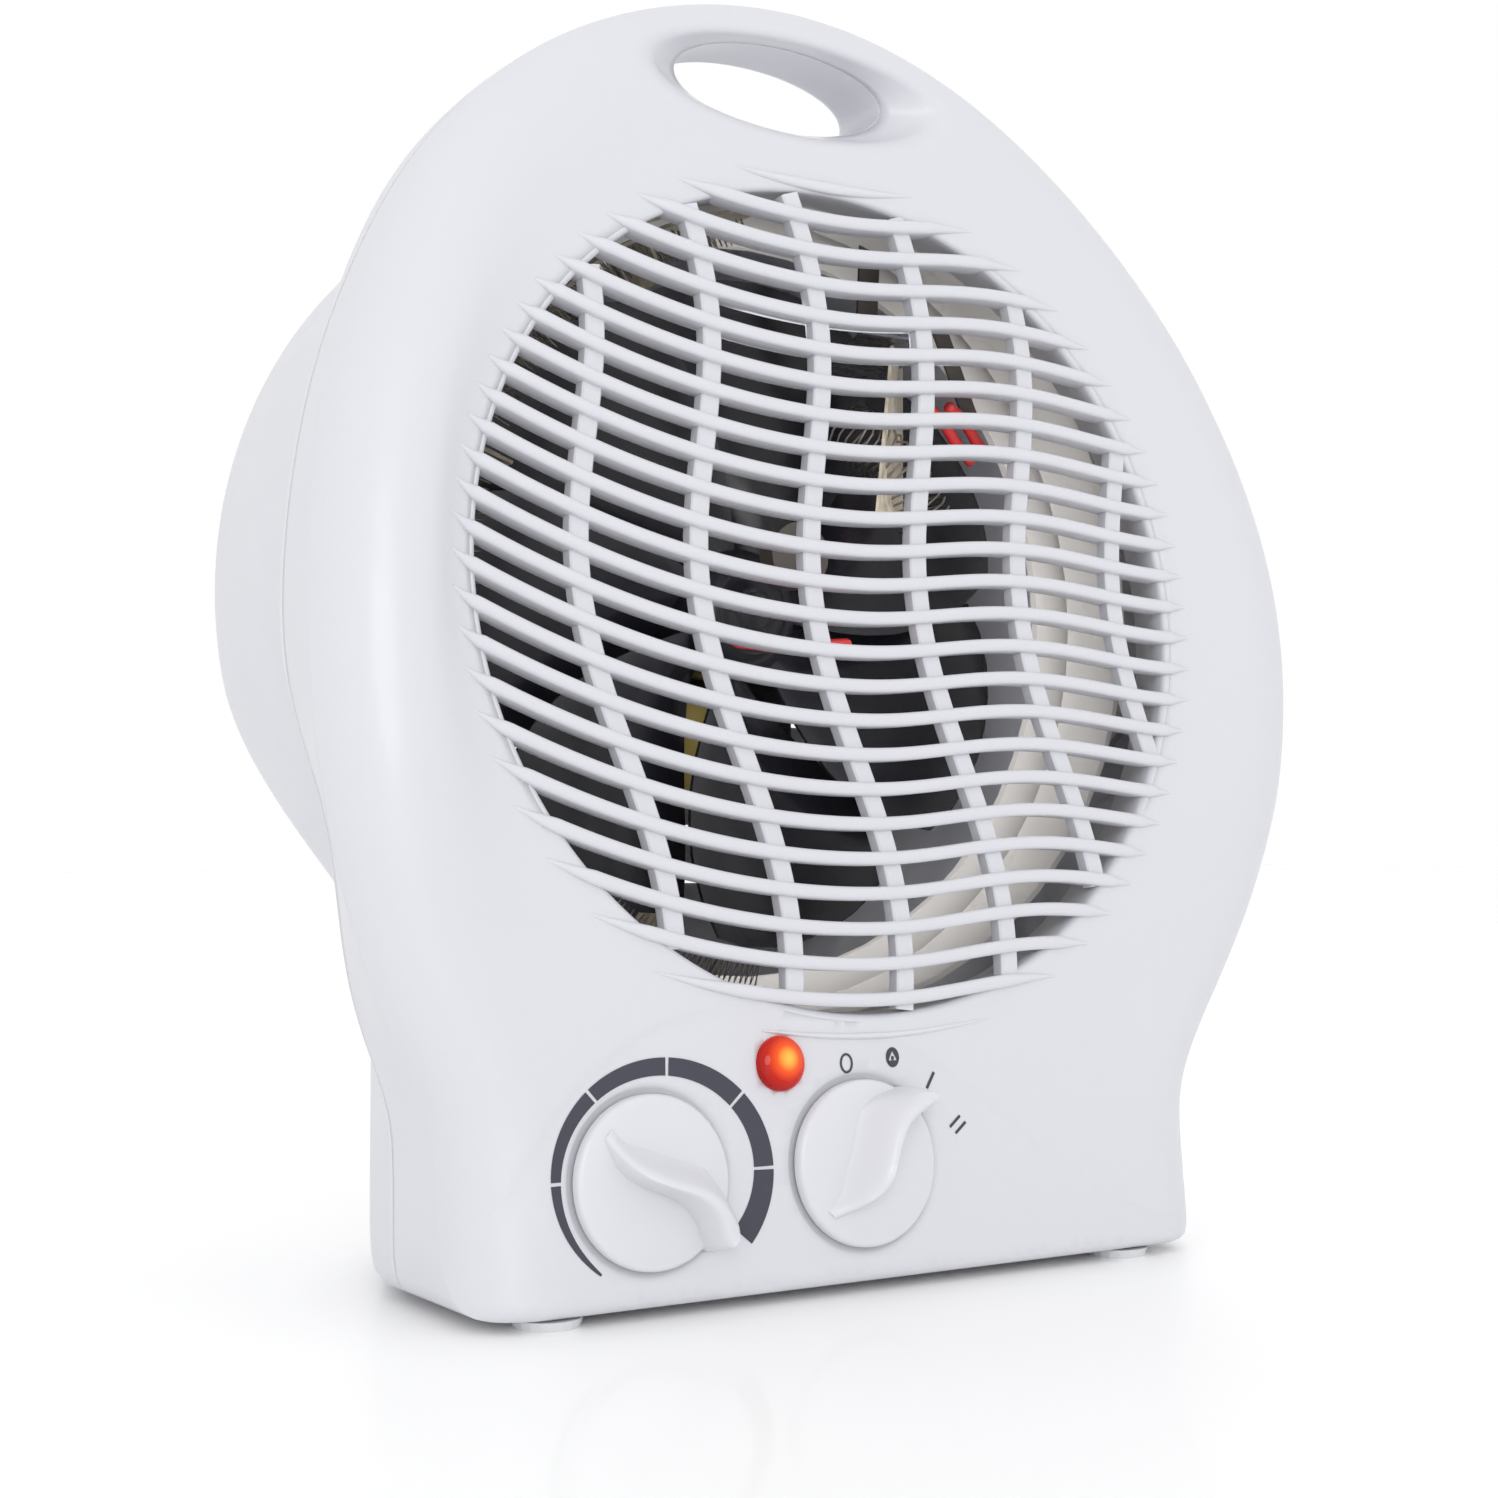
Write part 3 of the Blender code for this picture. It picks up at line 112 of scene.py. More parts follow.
# The grille.
GRILLE_RADIUS = 84.0 * MM
BAR_PITCH = 6.9 * MM
BAR_WIDTH = 2.7 * MM
BAR_PHASE = 2.2 * MM
BAR_NUMBERS = range(-13, 13)
BAR_LEFT_CURVE = 2.73
BAR_RIGHT_SWING = 1.6 * MM
BAR_RIGHT_WAVE = 86.0 * MM
BAR_PROUD = 1.5 * MM
BAR_DEPTH = 3.6 * MM
BAR_RUN_OUT = 6.0 * MM
RIB_PITCH = 26.2 * MM
RIB_WIDTH = 4.2 * MM
RIB_PHASE = -9.0 * MM
RIB_NUMBERS = range(-4, 5)
RIB_SWING = 5.3 * MM
RIB_SHIFT = 5.26 * MM
RIB_SLANT = 0.083
RIB_CREST = 59.0 * MM
RIB_WAVE = 123.0 * MM

# The handle's eye.
EYE_X = -4.5 * MM
EYE_CENTRE = 105.0 * MM
EYE_HALF_WIDTH = 37.0 * MM
EYE_HALF_HEIGHT = 10.3 * MM
EYE_NECK_CENTRE = 107.0 * MM
EYE_NECK_HALF_WIDTH = 25.5 * MM
EYE_NECK_HALF_HEIGHT = 8.8 * MM
EYE_LIP = 2.6 * MM
EYE_MOST_FLARE = 1.35
EYE_SIDES = 96

# The panel.
DIAL_RADIUS = 15.9 * MM
RECESS_RADIUS = 17.6 * MM
THERMOSTAT_TURN = 133.0
FUNCTION_TURN = 45.0
RECESS_DEPTH = 1.0 * MM
STEM_HOLE = 5.0 * MM
LAMP_RADIUS = 5.3 * MM
LAMP_HOLE = 4.6 * MM
BELL_STEP = 0.35 * MM
BELL_BLEND = 0.9 * MM
BELL = [
    Vector((x * MM, z * MM))
    for x, z in (
        (-90, -140), (-82, -112), (-66, -92), (-42, -81),
        (-12, -83), (16, -95), (52, -121), (84, -131),
    )
]


def mix(a, b, share):
    return a + (b - a) * share


def ease(low, high, value):
    share = min(1.0, max(0.0, (value - low) / (high - low)))
    return share * share * (3.0 - 2.0 * share)


def at_grille(x, y, z):
    return GRILLE + Vector((x, y, z))


def on_face(x, y, height):
    return FACE_MATRIX @ Vector((x, y, height))


def face_place(point):
    """The face coordinates of a point in the row frame."""
    return FACE_MATRIX.inverted() @ point


# Node trees for the materials.


def new_material(name):
    material = bpy.data.materials.new(name)
    material.use_nodes = True
    tree = material.node_tree
    return material, tree, tree.nodes["Principled BSDF"]


def add_node(tree, kind, **values):
    node = tree.nodes.new(kind)
    for key, value in values.items():
        if key in node.inputs:
            node.inputs[key].default_value = value
        else:
            setattr(node, key, value)
    return node


def noise(tree, scale, detail=3.0, stretch=(1.0, 1.0, 1.0)):
    place = add_node(tree, "ShaderNodeTexCoord")
    mapping = add_node(tree, "ShaderNodeMapping", Scale=stretch)
    texture = add_node(tree, "ShaderNodeTexNoise", Scale=scale, Detail=detail)
    tree.links.new(place.outputs["Object"], mapping.inputs["Vector"])
    tree.links.new(mapping.outputs["Vector"], texture.inputs["Vector"])
    return texture.outputs["Fac"]


def spread(tree, source, low, high):
    """Maps a noise's middle range to values from low to high."""
    node = add_node(tree, "ShaderNodeMapRange")
    node.inputs["From Min"].default_value = 0.3
    node.inputs["From Max"].default_value = 0.7
    node.inputs["To Min"].default_value = low
    node.inputs["To Max"].default_value = high
    tree.links.new(source, node.inputs["Value"])
    return node.outputs["Result"]


def blend_colours(tree, factor, first, second):
    node = tree.nodes.new("ShaderNodeMix")
    node.data_type = "RGBA"
    tree.links.new(factor, node.inputs["Factor"])
    for socket, value in ((node.inputs["A"], first), (node.inputs["B"], second)):
        if isinstance(value, tuple):
            socket.default_value = (*value, 1.0)
        else:
            tree.links.new(value, socket)
    return node.outputs["Result"]


def edge_mask(tree, low=0.52, high=0.6):
    """Bright on sharp outer edges, from the mesh's own shape."""
    geometry = add_node(tree, "ShaderNodeNewGeometry")
    ramp = add_node(tree, "ShaderNodeMapRange")
    ramp.inputs["From Min"].default_value = low
    ramp.inputs["From Max"].default_value = high
    tree.links.new(geometry.outputs["Pointiness"], ramp.inputs["Value"])
    return ramp.outputs["Result"]


def bumped(tree, shader, source, distance, strength=1.0):
    bump = add_node(tree, "ShaderNodeBump", Strength=strength, Distance=distance)
    tree.links.new(source, bump.inputs["Height"])
    tree.links.new(bump.outputs["Normal"], shader.inputs["Normal"])
    return bump


def moulded(
    name, colour, roughness, grain=900.0, depth=0.01 * MM, tone=0.03, wear=0.04, coat=0.0, metallic=0.0
):
    """A moulded, cast or plated surface: faint tone, fine grain, uneven gloss and rubbed edges."""
    material, tree, shader = new_material(name)
    darker = tuple(c * (1.0 - tone) for c in colour)
    rubbed = tuple(min(1.0, c * (1.0 + wear) + wear * 0.2) for c in colour)
    tones = blend_colours(tree, spread(tree, noise(tree, 14.0, 4.0), 0.0, 1.0), darker, colour)
    tree.links.new(blend_colours(tree, edge_mask(tree), tones, rubbed), shader.inputs["Base Color"])
    gloss = spread(tree, noise(tree, 60.0, 5.0), roughness * 0.85, roughness * 1.2)
    tree.links.new(gloss, shader.inputs["Roughness"])
    bumped(tree, shader, noise(tree, grain, 2.0), depth)
    shader.inputs["Metallic"].default_value = metallic
    shader.inputs["Coat Weight"].default_value = coat
    shader.inputs["Coat Roughness"].default_value = 0.12
    return material


def white_plastic(name, colour=(0.66, 0.665, 0.705)):
    material = moulded(name, colour, 0.36, grain=1500.0, depth=0.006 * MM, tone=0.012, wear=0.03, coat=0.08)
    shader = material.node_tree.nodes["Principled BSDF"]
    shader.inputs["Subsurface Weight"].default_value = 0.12
    shader.inputs["Subsurface Radius"].default_value = (1.0, 1.0, 1.2)
    shader.inputs["Subsurface Scale"].default_value = 1.5 * MM
    return material


def brushed(name, colour, roughness, stretch=(1.0, 1.0, 40.0)):
    """Metal with fine lines drawn along one direction."""
    material, tree, shader = new_material(name)
    lines = noise(tree, 220.0, 6.0, stretch)
    darker = tuple(c * 0.8 for c in colour)
    tones = blend_colours(tree, spread(tree, lines, 0.0, 1.0), darker, colour)
    tree.links.new(tones, shader.inputs["Base Color"])
    tree.links.new(spread(tree, lines, roughness * 0.7, roughness * 1.4), shader.inputs["Roughness"])
    bumped(tree, shader, lines, 0.02 * MM)
    shader.inputs["Metallic"].default_value = 1.0
    return material


def glowing_lens(name, centre):
    """Clear red plastic lit from behind: a yellow hot spot that falls off to red."""
    material, tree, shader = new_material(name)
    place = add_node(tree, "ShaderNodeTexCoord")
    away = add_node(tree, "ShaderNodeVectorMath", operation="DISTANCE")
    away.inputs[1].default_value = centre
    tree.links.new(place.outputs["Object"], away.inputs[0])
    ramp = add_node(tree, "ShaderNodeValToRGB")
    scale = add_node(tree, "ShaderNodeMapRange")
    scale.inputs["From Max"].default_value = LAMP_RADIUS * 1.25
    tree.links.new(away.outputs["Value"], scale.inputs["Value"])
    tree.links.new(scale.outputs["Result"], ramp.inputs["Fac"])
    stops = ramp.color_ramp.elements
    stops[0].color = (1.0, 0.85, 0.25, 1.0)
    stops[1].color = (0.2, 0.0, 0.0, 1.0)
    for position, colour in (
        (0.2, (1.0, 0.5, 0.06, 1.0)),
        (0.4, (0.95, 0.1, 0.01, 1.0)),
        (0.65, (0.5, 0.01, 0.0, 1.0)),
    ):
        stops.new(position).color = colour
    flicker = noise(tree, 500.0, 3.0)
    bumped(tree, shader, flicker, 0.01 * MM)
    tree.links.new(spread(tree, flicker, 0.04, 0.1), shader.inputs["Roughness"])
    tree.links.new(ramp.outputs["Color"], shader.inputs["Emission Color"])
    shader.inputs["Emission Strength"].default_value = 1.0
    shader.inputs["Base Color"].default_value = (0.08, 0.001, 0.001, 1.0)
    shader.inputs["Specular IOR Level"].default_value = 0.3
    return material


def mica_sheet(name):
    material, tree, shader = new_material(name)
    flakes = noise(tree, 420.0, 6.0)
    broad = noise(tree, 60.0, 3.0)
    tones = blend_colours(tree, spread(tree, flakes, 0.0, 1.0), (0.2, 0.165, 0.12), (0.45, 0.4, 0.32))
    tones = blend_colours(tree, spread(tree, broad, 0.0, 0.6), tones, (0.3, 0.27, 0.22))
    tree.links.new(tones, shader.inputs["Base Color"])
    tree.links.new(spread(tree, flakes, 0.3, 0.6), shader.inputs["Roughness"])
    bumped(tree, shader, flakes, 0.03 * MM)
    shader.inputs["Coat Weight"].default_value = 0.2
    return material


# Meshes.


def mesh_object(name, bm, material, body="housing", smooth=True):
    mesh = bpy.data.meshes.new(name)
    bm.to_mesh(mesh)
    bm.free()
    thing = bpy.data.objects.new(name, mesh)
    bpy.context.scene.collection.objects.link(thing)
    mesh.materials.append(material)
    if smooth:
        mesh.shade_smooth()
    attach(thing, body)
    return thing


def sharpen(thing, angle=40.0):
    thing.data.set_sharp_from_angle(angle=math.radians(angle))
    return thing


def add_rings(bm, rings, close_first=False, close_last=False, around=True):
    """Faces between rings of points, each ring joined to the next."""
    grid = [[bm.verts.new(point) for point in ring] for ring in rings]
    count = len(grid[0])
    for one, two in zip(grid, grid[1:]):
        for j in range(count if around else count - 1):
            k = (j + 1) % count
            bm.faces.new((one[j], one[k], two[k], two[j]))
    if close_first:
        bm.faces.new(grid[0][::-1])
    if close_last:
        bm.faces.new(grid[-1])
    return grid


def settle(bm, outward=None):
    """Welds a mesh and turns its faces outwards."""
    bmesh.ops.remove_doubles(bm, verts=bm.verts, dist=0.002 * MM)
    bmesh.ops.recalc_face_normals(bm, faces=bm.faces)
    if outward is not None:
        total = Vector()
        for face in bm.faces:
            total += face.normal * face.calc_area()
        if total.dot(outward) < 0.0:
            bmesh.ops.reverse_faces(bm, faces=bm.faces)


def turned(name, profile, matrix, material, body, steps=64, closed=False):
    """A profile of (radius, height) turned about its axis, run down its outer side."""
    bm = bmesh.new()
    rings = []
    for radius, height in profile:
        ring = []
        for i in range(steps):
            turn = 2.0 * math.pi * i / steps
            ring.append(matrix @ Vector((radius * math.cos(turn), radius * math.sin(turn), height)))
        rings.append(ring)
    if closed:
        rings.append(rings[0])
    add_rings(bm, rings)
    settle(bm)
    return sharpen(mesh_object(name, bm, material, body))


def tube_rings(points, radius, sides=6):
    """Rings of a tube's skin round a line of points."""
    rings = []
    across = None
    for i, point in enumerate(points):
        ahead = points[min(i + 1, len(points) - 1)] - points[max(i - 1, 0)]
        ahead.normalize()
        if across is None:
            across = ahead.orthogonal().normalized()
        across = (across - ahead * across.dot(ahead)).normalized()
        other = ahead.cross(across)
        size = radius[i] if isinstance(radius, list) else radius
        ring = []
        for j in range(sides):
            turn = 2.0 * math.pi * j / sides
            ring.append(point + (across * math.cos(turn) + other * math.sin(turn)) * size)
        rings.append(ring)
    return rings


def tube(name, points, radius, material, body="housing", sides=6):
    bm = bmesh.new()
    add_rings(bm, tube_rings(points, radius, sides), close_first=True, close_last=True)
    settle(bm)
    return mesh_object(name, bm, material, body)


def smooth_path(points, steps):
    """Points on a smooth curve through the given ones."""
    path = []
    ends = [points[0] * 2.0 - points[1], *points, points[-1] * 2.0 - points[-2]]
    for before, here, there, after in zip(ends, ends[1:], ends[2:], ends[3:]):
        for i in range(steps):
            t = i / steps
            once = (there - before) * t
            twice = (before * 2.0 - here * 5.0 + there * 4.0 - after) * t**2
            thrice = (here * 3.0 - before - there * 3.0 + after) * t**3
            path.append(0.5 * ((here * 2.0) + once + twice + thrice))
    path.append(points[-1].copy())
    return path


# The covers' outline.


def half_width(z):
    rise = (z - BODY_CENTRE) / (BODY_TOP_HEIGHT if z > BODY_CENTRE else BODY_HALF_HEIGHT)
    body = BODY_HALF_WIDTH * math.sqrt(max(0.0, 1.0 - rise * rise))
    if z > BODY_CENTRE:
        return body
    return BASE_HALF_WIDTH + WAIST_BLEND * math.log1p(math.exp((body - BASE_HALF_WIDTH) / WAIST_BLEND))


def shoulder_shift(z):
    """How far right of the grille's centre the covers' middle lies at a height."""
    shoulder = SHOULDER_SHIFT * math.exp(-((z / SHOULDER_SPAN) ** 2))
    return shoulder - TOP_SHIFT * ease(*TOP_SHIFT_HEIGHTS, z) - BASE_SHIFT * ease(*BASE_SHIFT_DEPTHS, -z)


def side_taper(z):
    """How far the side walls lean in by the time they reach the parting plane."""
    return SIDE_TAPER * math.exp(-(((z - SIDE_TAPER_Z) / SIDE_TAPER_SPAN) ** 2))


def side_reach(angle):
    low = 0.0
    high = LIMIT
    for _ in range(34):
        middle = (low + high) / 2
        x = middle * math.cos(angle)
        z = middle * math.sin(angle)
        if abs(x - shoulder_shift(z)) < half_width(z):
            low = middle
        else:
            high = middle
    return low


def sole_reach(angle):
    return BASE_Z / math.sin(angle) if math.sin(angle) < -0.01 else LIMIT


def soft_least(a, b):
    nearer = min(a, b)
    weight_a = math.exp((nearer - a) / CORNER_BLEND)
    weight_b = math.exp((nearer - b) / CORNER_BLEND)
    total = weight_a + weight_b
    return nearer - CORNER_BLEND * math.log(total), weight_b / total


def pedestal_half_width(depth):
    """The pedestal's half width, which shrinks towards the back."""
    rows = [(at * MM, half * MM) for at, half in PEDESTAL_SIDE]
    for (near, wide), (far, narrow) in zip(rows, rows[1:]):
        if depth <= far:
            return mix(wide, narrow, max(0.0, (depth - near) / (far - near)))
    return rows[-1][1]


def rear_reach(angle, depth):
    """The drum, or the pedestal under it where that stands out further."""
    up = math.sin(angle)
    across = math.cos(angle)
    drum = DRUM_RISE * up + math.sqrt(DRUM_RADIUS**2 - (DRUM_RISE * across) ** 2)
    if up > 0.0:
        drum, _ = soft_least(drum, DRUM_TOP / max(0.05, up))
    if up > -0.3:
        return drum
    side = (pedestal_half_width(depth) - BASE_SHIFT * math.copysign(1.0, across)) / max(0.05, abs(across))
    pedestal, _ = soft_least(side, sole_reach(angle))
    return -soft_least(-drum, -pedestal)[0]


def directions(inward=11):
    """Angles round the outline, closer together at the two corners of the base."""
    angles = [360.0 * i / DIRECTIONS for i in range(DIRECTIONS)]
    corner = math.degrees(math.atan2(-BASE_Z, BASE_HALF_WIDTH))
    for step in range(-14, inward):
        angles += [360.0 - corner - 0.01 + 0.8 * -step, 180.0 + corner + 0.01 + 0.8 * step]
    return [math.radians(a) for a in sorted(angles)]


def rounding(distance, radius, drop):
    """How far a rounded edge has fallen away at a distance in from the edge."""
    share = min(1.0, max(0.0, 1.0 - distance / radius))
    return drop * (1.0 - math.sqrt(1.0 - share * share))


BOX_MARGIN = 0.12 * MM


class Direction:
    """The outline in one direction from the grille's centre."""

    def __init__(self, angle):
        self.angle = angle
        self.up = math.sin(angle)
        self.across = math.cos(angle)
        self.side = side_reach(angle)
        least, sole = soft_least(self.side, sole_reach(angle))
        self.reach = least - BOX_MARGIN
        level = abs(self.across) if self.up < 0.0 else 1.0
        self.edge = mix(EDGE_RADIUS / max(0.05, level), SOLE_EDGE_RADIUS, sole)
        height = self.reach * self.up
        self.ridge = RIDGE * ease(*RIDGE_HEIGHTS, height) * self.across**2
        self.back = PARTING - GAP / 2
        self.taper = side_taper(height)
        self.drop = min(EDGE_RADIUS, self.back - 2 * RIM_FLAT - LEAN * height + self.ridge)

    def depth(self, radius):
        """How far behind the grille's centre the cover's surface lies at this radius."""
        x = radius * self.across
        z = radius * self.up
        inset = self.side - radius if z > 0.0 else half_width(z) - abs(x - shoulder_shift(z))
        fall = rounding(inset, EDGE_RADIUS, self.drop)
        fall += rounding(z - BASE_Z, SOLE_EDGE_RADIUS, SOLE_EDGE_RADIUS)
        rise = self.ridge * ease(GRILLE_RADIUS, self.reach - self.edge, radius)
        return min(LEAN * z - rise + fall, self.back - 2 * RIM_FLAT)

    def radius_at(self, turn):
        """The radius at which the rounded edge has turned this far from the side wall, in degrees."""
        return self.reach - self.edge * (1.0 - math.cos(math.radians(turn)))


DIAL_PLACES = [face_place(point) for point in (THERMOSTAT_POINT, FUNCTION_POINT)]
LAMP_LOW, LAMP_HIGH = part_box("indicator_lens")
LAMP_PLACE = face_place((LAMP_LOW + LAMP_HIGH) / 2)


def bell_offset(x, z):
    """How far inside the bell-shaped panel a point lies; negative outside it."""
    here = Vector((x, z))
    nearest = None
    for a, b in zip(BELL_LINE, BELL_LINE[1:]):
        along = b - a
        share = min(1.0, max(0.0, (here - a).dot(along) / along.length_squared))
        away = here - (a + along * share)
        if nearest is None or away.length < abs(nearest):
            side = along.x * away.y - along.y * away.x
            nearest = away.length if side < 0.0 else -away.length
    return nearest


def surface_depth(x, z):
    """The depth of the front cover's surface, with the dials' recesses and the panel's crease."""
    depth = Direction(math.atan2(z, x)).depth(math.hypot(x, z))
    if z < -0.07:
        outside = ease(GRILLE_RADIUS, GRILLE_RADIUS + 4.0 * MM, math.hypot(x, z))
        depth += BELL_STEP * outside * ease(-BELL_BLEND, BELL_BLEND, bell_offset(x, z))
    for dial in DIAL_PLACES:
        away = math.hypot(x - dial.x, z / math.cos(LEAN_ANGLE) - dial.y)
        depth += RECESS_DEPTH * (1.0 - ease(DIAL_RADIUS + 0.4 * MM, RECESS_RADIUS, away))
    return depth


BELL_LINE = smooth_path(BELL, 8)


# The front cover.


def eye_ring(depth, offset=0.0):
    """Points round the handle's eye at one depth, moved outwards by an offset."""
    flare = (PARTING - depth) / (PARTING - LEAN * EYE_CENTRE)
    flare = min(EYE_MOST_FLARE, max(0.0, flare))
    half_x = mix(EYE_NECK_HALF_WIDTH, EYE_HALF_WIDTH, flare)
    half_z = mix(EYE_NECK_HALF_HEIGHT, EYE_HALF_HEIGHT, flare)
    centre = mix(EYE_NECK_CENTRE, EYE_CENTRE, flare)
    points = []
    for i in range(EYE_SIDES):
        turn = 2.0 * math.pi * i / EYE_SIDES
        x = half_x * math.cos(turn)
        z = half_z * math.sin(turn)
        out = Vector((x / half_x**2, z / half_z**2)).normalized()
        points.append((EYE_X + x + offset * out.x, centre + z + offset * out.y))
    return points


def eye_lip(turn):
    """A ring of the eye's rounded lip: 0 degrees on the cover's surface, 90 on the eye's wall."""
    offset = EYE_LIP * (1.0 - math.sin(math.radians(turn)))
    sink = EYE_LIP * (1.0 - math.cos(math.radians(turn)))
    front = eye_ring(LEAN * EYE_CENTRE + sink, offset)
    return [(x, surface_depth(x, z) + sink, z) for x, z in front]


def circle(x, z, radius, count):
    turns = [2.0 * math.pi * i / count for i in range(count)]
    return [(x + radius * math.cos(t), z + radius * math.sin(t)) for t in turns]


def dial_circle(place, radius, count):
    """A circle in the leaning face, seen along y."""
    flat = math.cos(LEAN_ANGLE)
    return [(x, z * flat) for x, z in circle(place.x, place.y, radius, count)]


def rim_ring(turn, count=240):
    """A ring of the grille opening's rounded rim."""
    radius = RIM_RADIUS - RIM_ROUND * math.sin(math.radians(turn))
    sink = RIM_ROUND * (1.0 - math.cos(math.radians(turn)))
    return [(x, LEAN * z + sink, z) for x, z in circle(0.0, 0.0, radius, count)]


RIM_RADIUS = 84.4 * MM
RIM_ROUND = 1.4 * MM
RIM_WALL = 8.0 * MM


class PlaneMesh:
    """Points and edges gathered for one constrained triangulation."""

    def __init__(self):
        self.points = []
        self.edges = []

    def add_points(self, points):
        self.points += [Vector((x / MM, z / MM)) for x, z in points]

    def add_loop(self, points):
        start = len(self.points)
        self.add_points(points)
        count = len(points)
        self.edges += [(start + i, start + (i + 1) % count) for i in range(count)]

    def add_line(self, points):
        start = len(self.points)
        self.add_points(points)
        self.edges += [(start + i, start + i + 1) for i in range(len(points) - 1)]

    def triangles(self):
        verts, _, faces, *_ = delaunay_2d_cdt(self.points, self.edges, [], 0, 0.0001)
        return [(v.x * MM, v.y * MM) for v in verts], faces


def inside_loop(x, z, loop):
    crossed = False
    for (ax, az), (bx, bz) in zip(loop, loop[1:] + loop[:1]):
        if (az > z) != (bz > z) and x < ax + (z - az) / (bz - az) * (bx - ax):
            crossed = not crossed
    return crossed


def offset_line(points, offset):
    moved = []
    for i, point in enumerate(points):
        along = (points[min(i + 1, len(points) - 1)] - points[max(i - 1, 0)]).normalized()
        moved.append((point.x - along.y * offset, point.y + along.x * offset))
    return moved


def make_front_shell(material):
    around = [Direction(angle) for angle in directions()]
    rim = [(x, z) for x, _, z in rim_ring(0.0)]
    eye = [(x, z) for x, _, z in eye_lip(0.0)]
    holes = [rim, eye, dial_circle(LAMP_PLACE, LAMP_HOLE, 32)]
    holes += [dial_circle(place, STEM_HOLE, 32) for place in DIAL_PLACES]
    outline = []
    for d in around:
        radius = d.radius_at(EDGE_TURN)
        outline.append((radius * math.cos(d.angle), radius * math.sin(d.angle)))
    plane = PlaneMesh()
    plane.add_loop(outline)
    for hole in holes:
        plane.add_loop(hole)
    for place in DIAL_PLACES:
        plane.add_loop(dial_circle(place, RECESS_RADIUS, 96))
        plane.add_loop(dial_circle(place, RECESS_RADIUS - 0.8 * MM, 96))
        plane.add_loop(dial_circle(place, DIAL_RADIUS + 0.4 * MM, 96))
    bell = [point for point in smooth_path(BELL_LINE, 4) if in_panel(point)]
    for run in broken_runs(bell):
        for offset in (-BELL_BLEND, 0.0, BELL_BLEND):
            plane.add_line(offset_line(run, offset))
    scatter = []
    for d in around:
        inner = d.reach - d.edge
        radii = [mix(RIM_RADIUS, inner, i / 9) for i in range(1, 9)]
        radii += [d.radius_at(turn) for turn in (90, 80, 70, 60, 52, 44, 37)]
        scatter += [(r * math.cos(d.angle), r * math.sin(d.angle)) for r in radii]
    scatter += [(x * 3.0 * MM, z * 3.0 * MM) for x in range(-34, 35) for z in range(-44, -26)]
    scatter = [p for p in scatter if within(p)]
    clear = [hole for hole in holes[1:]] + [dial_circle(p, RECESS_RADIUS + 0.6 * MM, 48) for p in DIAL_PLACES]
    plane.add_points([p for p in scatter if not any(inside_loop(*p, loop) for loop in clear)])
    verts, faces = plane.triangles()
    bm = bmesh.new()
    made = [bm.verts.new(at_grille(x, surface_depth(x, z), z)) for x, z in verts]
    for face in faces:
        x = sum(verts[i][0] for i in face) / 3
        z = sum(verts[i][1] for i in face) / 3
        if inside_loop(x, z, outline) and not any(inside_loop(x, z, hole) for hole in holes):
            bm.faces.new([made[i] for i in face])
    rings = [[edge_point(d, turn) for d in around] for turn in (EDGE_TURN, 24, 18, 12, 6, 0)]
    last = rings[-1]
    for share in WALL_SHARES:
        rings.append([wall_point(d, start, share) for d, start in zip(around, last)])
    rings.append([at_grille(p.x - GRILLE.x, around[0].back, p.z - GRILLE.z) for p in rings[-1]])
    add_rings(bm, rings)
    lips = [[at_grille(*p) for p in eye_lip(turn)] for turn in range(0, 91, 15)]
    lips += eye_wall(lips[-1])
    add_rings(bm, lips)
    rims = [[at_grille(*p) for p in rim_ring(turn)] for turn in range(0, 91, 15)]
    rims.append([point + Vector((0, RIM_WALL, 0)) for point in rims[-1]])
    add_rings(bm, rims)
    loose = [v for v in bm.verts if not v.link_faces]
    bmesh.ops.delete(bm, geom=loose, context="VERTS")
    settle(bm, outward=Vector((0, -1, 0)))
    shell = mesh_object("front_shell", bm, material)
    solid = shell.modifiers.new("wall", "SOLIDIFY")
    solid.thickness = WALL
    solid.offset = -1.0
    sharpen(shell, 50.0)
    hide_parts("front_cover")
    return shell


def eye_wall(last):
    """Rings of the eye's flared wall from the lip's last ring back to the parting."""
    rings = []
    for share in (0.25, 0.5, 0.75, 1.0):
        ring = []
        for i, start in enumerate(last):
            depth = mix(start.y - GRILLE.y, PARTING - GAP / 2, share)
            x, z = eye_ring(depth)[i]
            ring.append(at_grille(x, depth, z))
        rings.append(ring)
    return rings


def edge_point(d, turn):
    radius = d.radius_at(turn)
    return at_grille(radius * d.across, surface_depth(radius * d.across, radius * d.up), radius * d.up)


def wall_point(d, start, share):
    """A point of the side wall, which leans in towards the parting."""
    radius = d.reach - d.taper * share
    depth = mix(start.y - GRILLE.y, d.back - RIM_FLAT / 2, share)
    return at_grille(radius * d.across, depth, radius * d.up)


PANEL_CLEARANCE = 1.5 * MM
PANEL_TURN = 60.0


def within(point):
    """Whether a point lies on the cover's face, inside the lofted part of its edge and outside the grille."""
    d = Direction(math.atan2(point[1], point[0]))
    return RIM_RADIUS < math.hypot(*point) < d.radius_at(EDGE_TURN + 3.0)


def in_panel(point):
    """Whether a point of the bell's line lies on the cover's face, clear of the grille."""
    d = Direction(math.atan2(point.y, point.x))
    return RIM_RADIUS + PANEL_CLEARANCE < point.length < d.radius_at(PANEL_TURN)


def broken_runs(points):
    runs = []
    for i, point in enumerate(points):
        if i and (point - points[i - 1]).length < 6.0 * MM:
            runs[-1].append(point)
        else:
            runs.append([point])
    return [run for run in runs if len(run) > 2]


# The rear cover.

